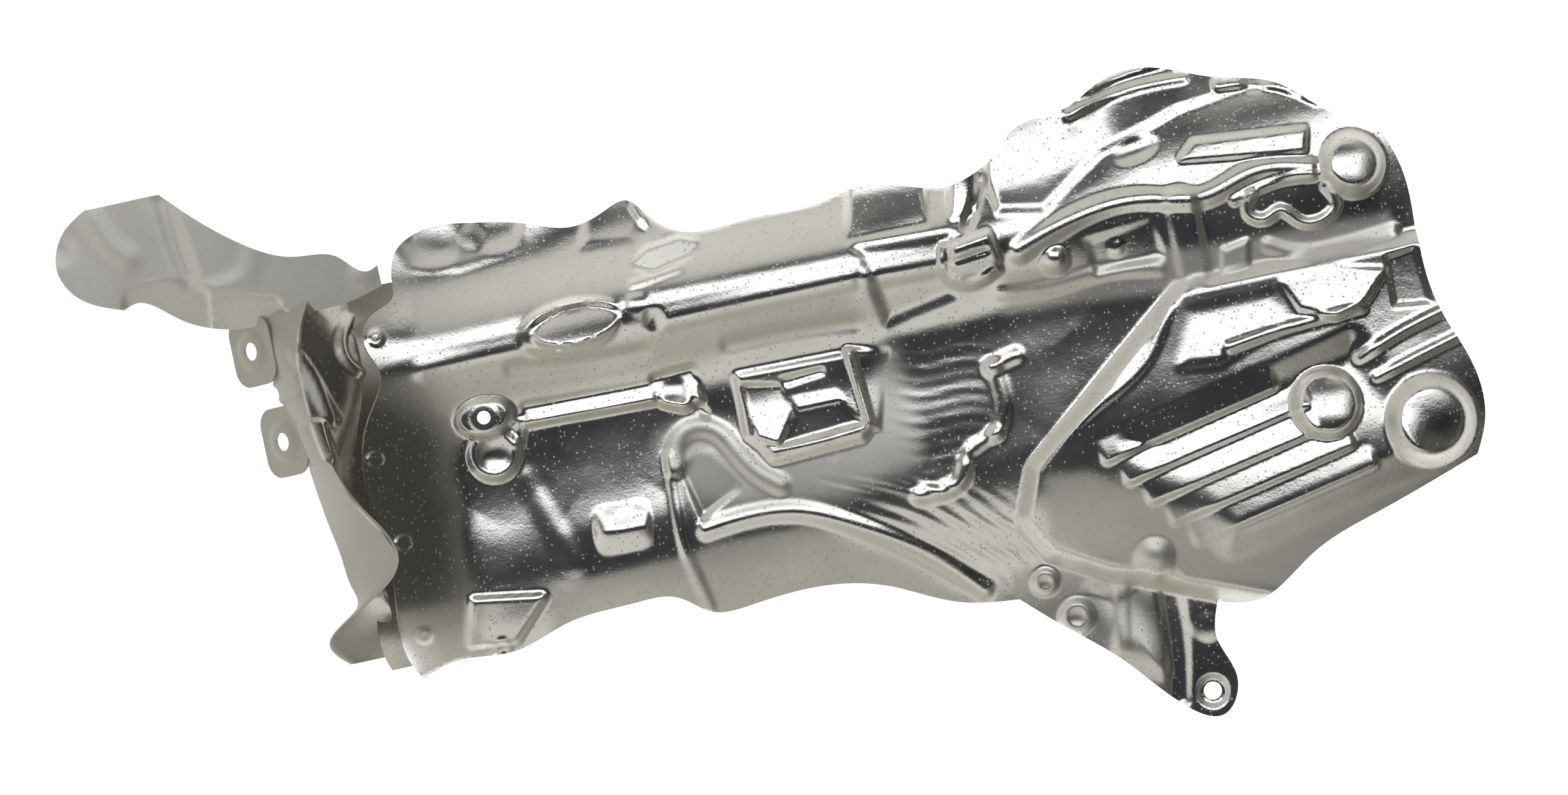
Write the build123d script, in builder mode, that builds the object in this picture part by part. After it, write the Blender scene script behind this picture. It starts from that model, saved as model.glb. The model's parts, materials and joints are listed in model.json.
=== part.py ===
from build123d import *
import os

# Exhaust heat shield: a long embossed sheet pressing with a second pressing clinched under its left end.
# Millimetres, +Z up. Drawn about a datum inside the outline, with +X along the ridge, seen from above,
# and moved at the end so that the origin is on the floor under the middle of the whole shield.

# Sheet stock. The gauge is measured along the press stroke, so steep walls come out thinner,
# as drawn sheet does. The two sheets lie on each other with a hair of air between them.
SHEET = 1.0
LAP_GAP = 0.05
BLOCK_FLOOR = -45.0
TOOL_TOP = 130.0
WALL_ANGLE = 38.0
TOOL_ROOT = 6.5
PROBE = 16.0

# Rows of the pressed face, from the upper rim to the tip of the ear.
BEYOND_RIM_Y = 140.0
RIM_Y = 112.0
SHOULDER_Y = 88.0
RIDGE_Y = 52.0
GUTTER_Y = 20.0
FLOOR_Y = -25.0
SILL_Y = -80.0
HEM_Y = -108.0
EAR_ROOT_Y = -150.0
EAR_Y = -215.0
ROWS = (BEYOND_RIM_Y, RIM_Y, SHOULDER_Y, RIDGE_Y, GUTTER_Y, FLOOR_Y, SILL_Y, HEM_Y, EAR_ROOT_Y, EAR_Y)

# Heights of the pressed face along those rows, by station from the upturned left end to the right end.
EAR_LEVEL = 4.0
STATIONS = {
    -240.0: (30, 34, 42, 62, 70, 72, 40, 10, -10, -20),
    -200.0: (22, 26, 33, 44, 42, 41, 23, -3, -12, -20),
    -165.0: (6, 12, 19, 33, 22, 18, 13, 2, -10, -20),
    -110.0: (0, 6, 14, 31, 17, 14, 13, 3, -10, -20),
    -55.0: (-6, 0.5, 12, 32, 18, 15, 14, 4, -10, -20),
    20.0: (-6, 2, 12, 33, 19, 17, 14, 3, -10, -20),
    100.0: (-4, 2, 11, 31, 20, 19, 16, 7, 1, -2),
    180.0: (-6, 3, 13, 25, 22, 22, 20, 14, 6, EAR_LEVEL),
    260.0: (-6, 2, 13, 22, 20, 20, 20, 14, 7, 2),
    350.0: (-12, -4, 4, 8, 9, 9, 7, 3, -2, -6),
}

# Raised pan at the right, with its ribs.
PAN_RISE = 7.0
PAN_TOOL_Z = 33.0
PAN_TOOL_DEPTH = 38.0
PAN_CORNER = 15.0
PAN_OUTLINE = (
    (206, 2), (120, -68), (113, -86), (121, -101), (144, -114), (225, -147), (380, -147), (380, 2),
)
RIB_RISE = 3.0
RIB_WIDTH = 10.0
RIB_PITCH = 12.0
RIB_SHIFT = 9.0
RIB_LENGTHS = (88, 92, 84, 92, 92)
RIB_START = (150.0, -61.0)
RIB_ANGLE = 11.5

# Beads that stand above the face around them: width at the foot and line in plan. Past its ends a bead
# runs out under the face.
BEAD_RISE = 3.5
BEAD_RUN_OUT = 9.0
BEAD_DIVE = 2.5
SHELF_BEAD_WIDTH = 12.0
SHELF_BEAD = ((-47, -60), (-14, -60), (18, -72), (52, -94), (78, -117))
HOOK_BEAD_WIDTH = 11.0
HOOK_BEAD = ((110, -9), (104, -31), (94, -47), (78, -62), (56, -65))
BOOT_BEAD_WIDTH = 11.0
BOOT_BEAD = ((-55, -40), (-52, -24), (-40, -15), (-27, -22), (-14, -43))
DIAGONAL_BEAD_WIDTH = 11.0
DIAGONAL_BEAD = ((136, 50), (177, 75), (225, 90), (258, 91))
GUTTER_BEAD_WIDTH = 10.0
GUTTER_BEAD = ((-106, 14), (-68, 12))
HUMP_WIDTH = 13.0
HUMP = ((-96, -52), (-76, -48))
FRAME_BEAD_WIDTH = 9.0
FRAME_BEAD = ((-12, -33), (-22, -16), (-16, 10), (16, 12), (50, 9), (57, -4), (44, -28))
TRAY_BEAD_WIDTH = 9.0
TRAY_BEAD = ((216, 68), (246, 63), (277, 60))

# Sunk pockets.
POCKET_DEPTH = 3.5
POCKET_CORNER = 2.0
CORNER_POCKET = ((-160, 122), (-156, 101), (-114, 99), (-102, 122))
LOZENGE_POCKET = ((-50, 80), (-44, 75), (-25, 77), (-30, 83))

# Bolt-clearance domes and round buttons, drawn over the face: place, foot radius and height of the cap.
PAN_DOME = (261.0, -61.0)
PAN_DOME_R = 17.5
PAN_DOME_RISE = 9.0
RIM_DOME = (299.0, 51.0)
RIM_DOME_R = 16.5
RIM_DOME_RISE = 8.0
NOTCH_BUTTON = (164.0, -118.0)
NOTCH_BUTTON_R = 8.5
NOTCH_BUTTON_RISE = 3.5
RIDGE_BUTTON = (146.5, 34.0)
RIDGE_BUTTON_R = 8.0
RIDGE_BUTTON_RISE = 3.5
ROOT_BUTTON = (126.0, -141.0)
ROOT_BUTTON_R = 9.0
ROOT_BUTTON_RISE = 3.5
PAD_BULGE = (-143.0, -2.0)
PAD_BULGE_R = 14.0
PAD_BULGE_RISE = 5.0
DRUM = (310.0, -80.0)
DRUM_FOOT_R = 24.0
DRUM_TOP_R = 14.0
DRUM_RISE = 9.0
DRUM_ROOT = 10.0
RIDGE_SWELL = (-92.0, 52.0)
RIDGE_SWELL_LENGTH = 54.0
RIDGE_SWELL_WIDTH = 30.0
RIDGE_SWELL_RISE = 3.0

# Fixing pad with its hole, beside the ridge.
PAD_X = -142.5
PAD_Y = 17.5
PAD_R = 13.0
PAD_TOP = 24.0
PAD_DEPTH = 12.0
PAD_HOLE_R = 3.3

# Ear with its countersunk fixing hole.
EAR_HOLE_X = 180.0
EAR_HOLE_Y = -189.0
EAR_HOLE_R = 4.5
EAR_SEAT_R = 6.0
EAR_FLARE_R = 8.5
EAR_SEAT_DROP = 2.2

# Clinch points along the seam: buttons pressed through both sheets.
CLINCH_R = 4.3
CLINCH_RISE = 1.2
CLINCHES = ((-185.0, 66.0), (-197.0, 8.5), (-192.5, -34.0), (-193.5, -81.0))

# Outline of the long pressing, as runs of one smooth curve each.
TOP_EDGE = (
    (-173, 94), (-169, 106), (-156, 114), (-130, 113), (-104, 107), (-86, 101), (-67, 104), (-53, 108),
    (-44, 98), (-27, 86), (5, 86), (37, 86), (60, 90), (84, 85), (103, 81), (124, 88),
)
CROWN_EDGE = (
    (124, 88), (143, 103), (168, 107), (186, 116), (210, 119), (243, 107), (270, 99), (293, 79), (317, 64),
)
RIGHT_EDGE = ((317, 64), (323, 44), (323, 0), (327, -30), (335, -52), (337, -85), (330, -101))
LOWER_RIGHT_EDGE = ((330, -101), (274, -119), (240, -132), (208, -149), (191, -146))
EAR_EDGE = (
    (191, -146), (187, -163), (193, -186), (184, -201), (160, -188), (140, -165), (112, -140), (96, -125),
)
HEM_EDGE = (
    (96, -125), (66, -120), (34, -105), (0, -98), (-34, -100), (-54, -99), (-68, -89), (-90, -87),
    (-125, -90), (-152, -98), (-183, -97), (-200, -102),
)
SEAM_EDGE = (
    (-200, -102), (-203, -95), (-201, -55), (-203, -20), (-203, 5), (-199, 22), (-191, 36), (-186, 48),
    (-191, 64), (-186, 77), (-174, 84), (-173, 94),
)

# The end pressing. Its flange lies under the long pressing and shows past the seam by a lip.
FLANGE_LIP = 6.0
FLANGE_LAP = 13.0
FLANGE_ENDS = (80.0, -96.0)

# Collar of the end pressing: sections along Y, each from a foot on the flange up to a crest
# and down to a free edge.
COLLAR_FOOT_SINK = 1.5
FLANK_BOW = 2.5
COLLAR_SECTIONS = {
    # y: (foot x, bow x, bow rise above the foot, crest x, crest z, edge x, edge z)
    94.0: (-195.0, -199.0, 9.0, -210.0, 49.5, -238.0, 44.0),
    76.0: (-195.0, -199.0, 12.0, -218.0, 60.0, -237.5, 45.5),
    52.0: (-194.0, -200.0, 13.0, -221.5, 63.0, -236.0, 44.0),
    28.0: (-200.0, -206.0, 13.0, -220.0, 64.5, -231.0, 46.0),
    5.0: (-207.0, -211.0, 14.0, -214.0, 66.0, -229.0, 39.0),
    -16.0: (-207.0, -208.5, 13.0, -204.5, 66.0, -226.5, 36.0),
    -38.0: (-206.0, -199.0, 5.0, -193.5, 65.0, -223.5, 34.0),
    -50.0: (-205.0, -202.5, 6.0, -200.0, 57.0, -222.0, 34.0),
    -61.0: (-205.0, -208.5, 8.0, -217.5, 46.0, -221.5, 40.0),
    -72.0: (-205.0, -214.0, 5.0, -234.0, 37.0, -236.5, 34.0),
    -87.0: (-206.0, -214.0, 3.0, -229.0, 24.0, -231.0, 20.5),
}

# Fixing tabs on the collar, tilted outwards.
TAB_TILT = -43.0
TAB_LENGTH = 30.0
TAB_HEIGHT = 34.0
TAB_CORNER = 9.0
TAB_HOLE_R = 4.5
TAB_Z = 41.0
TAB_CENTRES = ((-244.5, 72.0), (-238.5, 26.0))

# Wing: a plate with a bent lower lip, reaching left from the top of the collar.
WING_OUTLINE = (
    (-176, 100), (-186, 100), (-194, 108), (-214, 112), (-234, 121), (-254, 137), (-273, 155), (-309, 155),
    (-326, 141), (-328, 130), (-322, 116), (-300, 104), (-276, 95), (-258, 86), (-225, 84), (-190, 86),
    (-176, 90),
)
WING_CORNER = 4.0
WING_STATIONS = {-335.0: 49.0, -262.0: 57.0, -215.0: 57.0, -170.0: 50.0}
WING_REACH_Y = 170.0
WING_LIP_Y = 108.0
WING_ROOT_Y = 80.0
WING_TOP_DROP = 5.0
WING_LIP_DROP = 6.0


def row_parameters():
    """Share of the way from the first row to the last, for each row."""
    return [(ROWS[0] - row) / (ROWS[0] - ROWS[-1]) for row in ROWS]


# Pressed face as a block: every station is a section of the face closed down to the block's floor.
with BuildPart() as face_block:
    for station_x, heights in STATIONS.items():
        with BuildSketch(Plane.YZ.offset(station_x)):
            with BuildLine():
                section = [(row, height) for row, height in zip(ROWS, heights)]
                add(Edge.make_spline(section, parameters=row_parameters()))
                Polyline(section[-1], (ROWS[-1], BLOCK_FLOOR), (ROWS[0], BLOCK_FLOOR), section[0])
            make_face()
    loft()


def face_height(x, y):
    """Height of the plain pressed face over a point of the plan."""
    drop_line = Axis((x, y, TOOL_TOP), (0, 0, -1))
    return max(point.Z for point, _ in face_block.part.find_intersection_points(drop_line))


def raised_by(rise):
    """The face block lifted along the press stroke."""
    return face_block.part.moved(Location((0, 0, rise)))


def resting_plane(points, lift):
    """Plane that leans with the face under a group of plan points, lifted along the press stroke.

    The slopes are those of the face between the ends of the group along X and along Y.
    """
    mean_x = sum(x for x, _ in points) / len(points)
    mean_y = sum(y for _, y in points) / len(points)
    reach = PROBE / 2
    slope_x = (face_height(mean_x + reach, mean_y) - face_height(mean_x - reach, mean_y)) / PROBE
    slope_y = (face_height(mean_x, mean_y + reach) - face_height(mean_x, mean_y - reach)) / PROBE
    level = face_height(mean_x, mean_y) + lift
    return Plane((mean_x, mean_y, level), x_dir=(1, 0, slope_x), z_dir=(-slope_x, -slope_y, 1))


def drawn_on(plane, points):
    """Plan points dropped onto a leaning plane, in that plane's own coordinates."""
    normal = plane.z_dir
    local = []
    for x, y in points:
        z = plane.origin.Z - (normal.X * (x - plane.origin.X) + normal.Y * (y - plane.origin.Y)) / normal.Z
        flat = plane.to_local_coords(Vector(x, y, z))
        local.append((flat.X, flat.Y))
    return local


# Pan: the face lifted inside its outline, with sloped walls.
with BuildPart() as pan:
    with BuildSketch(Plane.XY.offset(PAN_TOOL_Z)):
        with BuildLine():
            FilletPolyline(*PAN_OUTLINE, radius=PAN_CORNER, close=True)
        make_face()
    extrude(amount=-PAN_TOOL_DEPTH, taper=-WALL_ANGLE)
    add(raised_by(PAN_RISE), mode=Mode.INTERSECT)


def ball_radius(foot_r, rise):
    """Radius of the ball, or of the round bar, whose cap has this foot radius and this rise."""
    return (foot_r**2 + rise**2) / (2 * rise)


# Ribs: parallel round bars sunk into the pan, each leaning with the pan along its run.
rib_r = ball_radius(RIB_WIDTH / 2, RIB_RISE)
rib_run = Vector(1, 0).rotate(Axis.Z, RIB_ANGLE)
with BuildPart() as ribs:
    for number, rib_length in enumerate(RIB_LENGTHS):
        first = Vector(*RIB_START) + Vector(RIB_SHIFT, -RIB_PITCH) * number
        last = first + rib_run * rib_length
        sink = PAN_RISE + RIB_RISE - rib_r
        first.Z = face_height(first.X, first.Y) + sink
        last.Z = face_height(last.X, last.Y) + sink
        rib_side = Vector(0, 0, 1).cross(last - first)
        rib_plane = Plane((first + last) / 2, x_dir=last - first, z_dir=(last - first).cross(rib_side))
        with BuildSketch(rib_plane):
            SlotCenterToCenter(rib_length, 2 * rib_r)
            split(bisect_by=Plane.XZ)
        revolve(axis=Axis(rib_plane.origin, rib_plane.x_dir))


def run_out(end, inner):
    """Plan point past the end of a bead, away from the point before it."""
    step = Vector(*end) - Vector(*inner)
    return Vector(*end) + step.normalized() * BEAD_RUN_OUT


def bead(path, width):
    """Round bar along a line of plan points, which stands above the face and dives under it past both ends."""
    bar_r = ball_radius(width / 2, BEAD_RISE)
    spots = [(x, y, face_height(x, y) + BEAD_RISE - bar_r) for x, y in path]
    dives = []
    for end, inner in ((path[0], path[1]), (path[-1], path[-2])):
        past = run_out(end, inner)
        dives.append((past.X, past.Y, face_height(past.X, past.Y) - BEAD_DIVE - bar_r))
    with BuildPart() as bar:
        with BuildLine():
            run = Spline(dives[0], *spots, dives[1])
        with BuildSketch(Plane(run @ 0, z_dir=run % 0)):
            Circle(bar_r)
        sweep()
    return bar.part


beads = [
    bead(SHELF_BEAD, SHELF_BEAD_WIDTH),
    bead(HOOK_BEAD, HOOK_BEAD_WIDTH),
    bead(BOOT_BEAD, BOOT_BEAD_WIDTH),
    bead(DIAGONAL_BEAD, DIAGONAL_BEAD_WIDTH),
    bead(GUTTER_BEAD, GUTTER_BEAD_WIDTH),
    bead(HUMP, HUMP_WIDTH),
    bead(FRAME_BEAD, FRAME_BEAD_WIDTH),
    bead(TRAY_BEAD, TRAY_BEAD_WIDTH),
]

# Pockets: the room above the sunk face inside each outline, widening upwards.
with BuildPart() as pockets:
    for outline in (CORNER_POCKET, LOZENGE_POCKET):
        bed_plane = resting_plane(outline, -POCKET_DEPTH)
        with BuildSketch(bed_plane):
            with BuildLine():
                FilletPolyline(*drawn_on(bed_plane, outline), radius=POCKET_CORNER, close=True)
            make_face()
        extrude(amount=POCKET_DEPTH + TOOL_ROOT, taper=-WALL_ANGLE)


def cap(foot, foot_r, rise, lift=0.0):
    """Ball whose cap stands above the face by a rise over a foot circle."""
    ball_r = ball_radius(foot_r, rise)
    x, y = foot
    level = face_height(x, y) + lift
    return Pos(x, y, level + rise - ball_r) * Sphere(ball_r, rotation=(90, 0, 0))


# Forming block with all its relief.
caps = [
    cap(PAN_DOME, PAN_DOME_R, PAN_DOME_RISE, lift=PAN_RISE),
    cap(RIM_DOME, RIM_DOME_R, RIM_DOME_RISE),
    cap(NOTCH_BUTTON, NOTCH_BUTTON_R, NOTCH_BUTTON_RISE, lift=PAN_RISE),
    cap(RIDGE_BUTTON, RIDGE_BUTTON_R, RIDGE_BUTTON_RISE),
    cap(ROOT_BUTTON, ROOT_BUTTON_R, ROOT_BUTTON_RISE),
    cap(PAD_BULGE, PAD_BULGE_R, PAD_BULGE_RISE),
]
for clinch in CLINCHES:
    caps.append(cap(clinch, CLINCH_R, CLINCH_RISE))

with BuildPart() as drum:
    drum_flare = (DRUM_FOOT_R - DRUM_TOP_R) / DRUM_RISE
    root_r = DRUM_FOOT_R + DRUM_ROOT * drum_flare
    with Locations((*DRUM, face_height(*DRUM) + PAN_RISE + DRUM_RISE)):
        Cone(root_r, DRUM_TOP_R, DRUM_RISE + DRUM_ROOT, align=(Align.CENTER, Align.CENTER, Align.MAX))

with BuildPart() as pad:
    with Locations((PAD_X, PAD_Y, PAD_TOP)):
        Cone(PAD_R + PAD_DEPTH, PAD_R, PAD_DEPTH, align=(Align.CENTER, Align.CENTER, Align.MAX))

with BuildPart() as swell:
    swell_z = face_height(*RIDGE_SWELL) + RIDGE_SWELL_RISE - RIDGE_SWELL_WIDTH / 2
    with BuildSketch(Plane((*RIDGE_SWELL, swell_z))):
        Ellipse(RIDGE_SWELL_LENGTH / 2, RIDGE_SWELL_WIDTH / 2)
        split(bisect_by=Plane.XZ)
    revolve(axis=Axis((*RIDGE_SWELL, swell_z), (1, 0, 0)))

with BuildPart() as forming_block:
    add(face_block.part)
    add([pan.part, ribs.part, drum.part, pad.part, swell.part, *beads, *caps])
    add(pockets.part, mode=Mode.SUBTRACT)
    with Locations((EAR_HOLE_X, EAR_HOLE_Y, face_height(EAR_HOLE_X, EAR_HOLE_Y) - EAR_SEAT_DROP)):
        Cone(
            EAR_SEAT_R, EAR_FLARE_R + EAR_SEAT_DROP, 2 * EAR_SEAT_DROP,
            align=(Align.CENTER, Align.CENTER, Align.MIN), mode=Mode.SUBTRACT,
        )


def lowered_by(drop):
    """The forming block moved down along the press stroke."""
    return forming_block.part.moved(Location((0, 0, -drop)))


# Main shield: one gauge of sheet under the forming block's face, trimmed to its outline.
with BuildPart() as main_shield:
    add(forming_block.part)
    with BuildSketch(Plane.XY.offset(BLOCK_FLOOR - SHEET)):
        with BuildLine():
            for run in (TOP_EDGE, CROWN_EDGE, RIGHT_EDGE, LOWER_RIGHT_EDGE, EAR_EDGE, HEM_EDGE, SEAM_EDGE):
                Spline(*run)
        make_face()
    extrude(amount=TOOL_TOP - BLOCK_FLOOR, mode=Mode.INTERSECT)
    add(lowered_by(SHEET), mode=Mode.SUBTRACT)
    for hole_x, hole_y, hole_r in ((PAD_X, PAD_Y, PAD_HOLE_R), (EAR_HOLE_X, EAR_HOLE_Y, EAR_HOLE_R)):
        with Locations((hole_x, hole_y, 0)):
            Cylinder(hole_r, TOOL_TOP, mode=Mode.SUBTRACT)

# Flange of the end pressing: the sheet right under the main shield, along the seam.
with BuildPart() as flange:
    add(lowered_by(SHEET + LAP_GAP))
    with BuildSketch(Plane.XY.offset(BLOCK_FLOOR)):
        with BuildLine():
            seam = [point for point in SEAM_EDGE if FLANGE_ENDS[1] < point[1] < FLANGE_ENDS[0]]
            lip_line = Spline(*[(x - FLANGE_LIP, y) for x, y in seam])
            lap_line = Spline(*[(x + FLANGE_LAP, y) for x, y in seam])
            Line(lip_line @ 0, lap_line @ 0)
            Line(lip_line @ 1, lap_line @ 1)
        make_face()
    extrude(amount=TOOL_TOP - BLOCK_FLOOR, mode=Mode.INTERSECT)
    add(lowered_by(2 * SHEET + LAP_GAP), mode=Mode.SUBTRACT)


def underside(points):
    """Points one gauge to the left of a line of points, mitred at its corners."""
    points = [Vector(*point) for point in points]
    sides = [(after - before).normalized().rotate(Axis.Z, 90) for before, after in zip(points, points[1:])]
    sides = [sides[0], *sides, sides[-1]]
    mitres = [(one + two) / (1 + one.dot(two)) for one, two in zip(sides, sides[1:])]
    return [point + mitre * SHEET for point, mitre in zip(points, mitres)]


def flank_bow(crest, edge):
    """Point that bows the flank outwards between its crest and its free edge."""
    run = Vector(*edge) - Vector(*crest)
    return (Vector(*crest) + Vector(*edge)) / 2 - run.normalized().rotate(Axis.Z, 90) * FLANK_BOW


# Collar: a wall rising from the flange to the crest, and a flank falling outwards from the crest.
with BuildPart() as collar:
    for section_y, (foot_x, bow_x, bow_rise, crest_x, crest_z, edge_x, edge_z) in COLLAR_SECTIONS.items():
        foot_z = face_height(foot_x, section_y) - COLLAR_FOOT_SINK
        crest = (crest_x, crest_z)
        edge = (edge_x, edge_z)
        outer = [(foot_x, foot_z), (bow_x, foot_z + bow_rise), crest, flank_bow(crest, edge), edge]
        inner = underside(outer)
        with BuildSketch(Plane((0, section_y, 0), x_dir=(1, 0, 0), z_dir=(0, -1, 0))):
            with BuildLine():
                Bezier(*outer[:3])
                Bezier(*outer[2:])
                Line(outer[-1], inner[-1])
                Bezier(*reversed(inner[2:]))
                Bezier(*reversed(inner[:3]))
                Line(inner[0], outer[0])
            make_face()
    loft()

# Fixing tabs: flat plates leaning outwards, each with its hole.
with BuildPart() as tabs:
    for tab_x, tab_y in TAB_CENTRES:
        tab_plane = Plane((tab_x, tab_y, TAB_Z)).rotated((0, TAB_TILT, 0))
        with BuildSketch(tab_plane):
            RectangleRounded(TAB_LENGTH, TAB_HEIGHT, TAB_CORNER)
        extrude(amount=-SHEET)

# Wing: a bent plate trimmed to its outline.
with BuildPart() as wing:
    for station_x, level in WING_STATIONS.items():
        with BuildSketch(Plane.YZ.offset(station_x)):
            with BuildLine():
                reach = (WING_REACH_Y, level - WING_TOP_DROP)
                root = (WING_ROOT_Y, level - WING_LIP_DROP)
                outer = [reach, (WING_LIP_Y, level), root]
                inner = underside(outer)
                Bezier(*outer)
                Line(outer[-1], inner[-1])
                Bezier(*reversed(inner))
                Line(inner[0], outer[0])
            make_face()
    loft()
    with BuildSketch(Plane.XY):
        with BuildLine():
            FilletPolyline(*WING_OUTLINE, radius=WING_CORNER, close=True)
        make_face()
    extrude(amount=TOOL_TOP, mode=Mode.INTERSECT)

with BuildPart() as end_shield:
    add(flange.part)
    add([collar.part, tabs.part, wing.part])
    for tab_x, tab_y in TAB_CENTRES:
        hole_plane = Plane((tab_x, tab_y, TAB_Z)).rotated((0, TAB_TILT, 0))
        with BuildSketch(hole_plane):
            Circle(TAB_HOLE_R)
        extrude(amount=2 * SHEET, both=True, mode=Mode.SUBTRACT)

# The origin goes on the floor, under the middle of the whole shield.
box = main_shield.part.bounding_box().add(end_shield.part.bounding_box())
shift = Location((-box.center().X, -box.center().Y, -box.min.Z))

os.makedirs("parts", exist_ok=True)
for name, shield in (("main_shield", main_shield), ("end_shield", end_shield)):
    piece = shield.part.moved(shift)
    piece.label = name
    export_step(piece, f"parts/{name}.step")
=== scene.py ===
"""Exhaust heat shield: two aluminium pressings as numpy surfaces, dressed as rolled sheet.

Sizes are millimetres in the drawing's own plan, with +X along the ridge and +Z up out of the outer
side. The drawing's datum is found from the frame's fixing holes, so every surface lies where the
solids lie.
"""

import json
import logging
import math
from dataclasses import dataclass, field, replace
from enum import Enum
from typing import Union

import bpy
import numpy as np
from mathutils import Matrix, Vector
from mathutils.geometry import delaunay_2d_cdt


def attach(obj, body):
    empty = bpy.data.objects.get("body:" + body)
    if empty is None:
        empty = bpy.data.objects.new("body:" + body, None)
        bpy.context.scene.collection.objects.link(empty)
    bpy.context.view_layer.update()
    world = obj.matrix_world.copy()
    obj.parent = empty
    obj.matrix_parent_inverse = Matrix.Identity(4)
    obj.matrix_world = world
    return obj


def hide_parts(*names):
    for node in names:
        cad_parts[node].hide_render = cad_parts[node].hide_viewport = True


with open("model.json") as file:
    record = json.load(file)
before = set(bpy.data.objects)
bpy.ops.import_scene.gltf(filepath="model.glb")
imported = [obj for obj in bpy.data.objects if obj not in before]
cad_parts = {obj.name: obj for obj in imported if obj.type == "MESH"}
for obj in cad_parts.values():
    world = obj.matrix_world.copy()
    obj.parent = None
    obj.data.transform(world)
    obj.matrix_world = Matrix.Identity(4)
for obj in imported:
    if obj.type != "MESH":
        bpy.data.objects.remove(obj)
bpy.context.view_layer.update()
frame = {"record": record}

log = logging.getLogger("heat_shield")

MM = 0.001
BODY = "root"
SHEET = 1.0
LAP_GAP = 0.05
LINE_PITCH = 3.0
RIM_SKIP = 3
RIM_CLEAR = 0.6
HOLE_CLEAR = 0.55
INSIDE_FACES = 1
MERGE_GAP = 1e-7
TURN = 2 * math.pi
QUARTER_DEG = 90.0
HALF_DEG = 180.0

Array = np.ndarray
Plan = tuple[float, float]
Line = tuple[Plan, ...]
Colour = tuple[float, float, float]
Ramp = tuple[tuple[float, Colour], ...]
Socket = bpy.types.NodeSocket
Value = Union[float, Colour, Vector, Socket]

ORIGIN: Plan = (0.0, 0.0)
# Start and stretch of two eased ranges: the slope in degrees, and the normal's share towards +X.
DRAWN_SLOPE: Plan = (12.0, 16.0)
POLISH_FACING: Plan = (0.0, 0.35)
BLACK: Colour = (0.0, 0.0, 0.0)
WHITE: Colour = (1.0, 1.0, 1.0)


def eased(share: Array) -> Array:
    """Smooth step: 0 below 0, 1 above 1 and 3t squared less 2t cubed between."""
    t = np.clip(share, 0.0, 1.0)
    return t * t * (3.0 - 2.0 * t)


def eased_from(value: Array, start: float, over: float) -> Array:
    """Smooth step that leaves 0 at a start and reaches 1 a stretch further on."""
    return eased((value - start) / over)


def spline_weights(knots: Array, where: Array) -> Array:
    """Weights that carry values at the knots to a natural cubic spline through them.

    The second derivatives solve the usual three-band system, and each interval then blends its two
    ends linearly and adds their second derivatives through the cubes of the two shares.

    Args:
        knots: rising knot places.
        where: places to evaluate, held to the knots' range.

    Returns:
        Matrix with one row for each place and one column for each knot.
    """
    count = len(knots)
    gaps = np.diff(knots)
    bands = np.eye(count)
    bends = np.zeros((count, count))
    inner = np.arange(1, count - 1)
    bands[inner, inner - 1] = gaps[:-1] / 6.0
    bands[inner, inner] = (gaps[:-1] + gaps[1:]) / 3.0
    bands[inner, inner + 1] = gaps[1:] / 6.0
    bends[inner, inner - 1] = 1.0 / gaps[:-1]
    bends[inner, inner] = -1.0 / gaps[:-1] - 1.0 / gaps[1:]
    bends[inner, inner + 1] = 1.0 / gaps[1:]
    curvature = np.linalg.solve(bands, bends)
    held = np.clip(where, knots[0], knots[-1])
    left = np.clip(np.searchsorted(knots, held, side="right") - 1, 0, count - 2)
    gap = gaps[left]
    after = (held - knots[left]) / gap
    before = 1.0 - after
    cubic_before = (before**3 - before) * gap**2 / 6.0
    cubic_after = (after**3 - after) * gap**2 / 6.0
    unit = np.eye(count)
    return (
        before[:, None] * unit[left]
        + after[:, None] * unit[left + 1]
        + cubic_before[:, None] * curvature[left]
        + cubic_after[:, None] * curvature[left + 1]
    )


def smooth_line(points: Line, pitch: float) -> Array:
    """Points about a pitch apart on the natural spline through a line, by chord length."""
    spots = np.asarray(points, float)
    chord = np.concatenate([[0.0], np.cumsum(np.hypot(*np.diff(spots, axis=0).T))])
    steps = max(2, int(round(chord[-1] / pitch)) + 1)
    return spline_weights(chord, np.linspace(0.0, chord[-1], steps)) @ spots


def line_distance(x: Array, y: Array, line: Array) -> Array:
    """Distance from each plan point to an open line of straight steps."""
    run = np.diff(line, axis=0)
    off_x = x[:, None] - line[None, :-1, 0]
    off_y = y[:, None] - line[None, :-1, 1]
    along = (off_x * run[:, 0] + off_y * run[:, 1]) / (run**2).sum(axis=1)
    along = np.clip(along, 0.0, 1.0)
    gap = (off_x - along * run[:, 0]) ** 2 + (off_y - along * run[:, 1]) ** 2
    return np.sqrt(gap.min(axis=1))


def outline_distance(x: Array, y: Array, outline: Array) -> Array:
    """Distance from each plan point to a closed outline, negative inside.

    A point is inside where a ray towards +X crosses the outline an odd number of times.
    """
    ring = np.vstack([outline, outline[:1]])
    reach = line_distance(x, y, ring)
    low, high = ring[:-1], ring[1:]
    spans = (low[None, :, 1] > y[:, None]) != (high[None, :, 1] > y[:, None])
    rise = np.where(high[:, 1] == low[:, 1], 1.0, high[:, 1] - low[:, 1])
    cross = low[:, 0] + (y[:, None] - low[:, 1]) * (high[:, 0] - low[:, 0]) / rise
    inside = (np.count_nonzero(spans & (x[:, None] < cross), axis=1) % 2) == 1
    return np.where(inside, -reach, reach)


def boxed(x: Array, y: Array, line: Array, reach: float) -> Array:
    """Mask of the plan points in the box of a line grown by a reach."""
    low, high = line.min(axis=0) - reach, line.max(axis=0) + reach
    return (x > low[0]) & (x < high[0]) & (y > low[1]) & (y < high[1])


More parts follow.
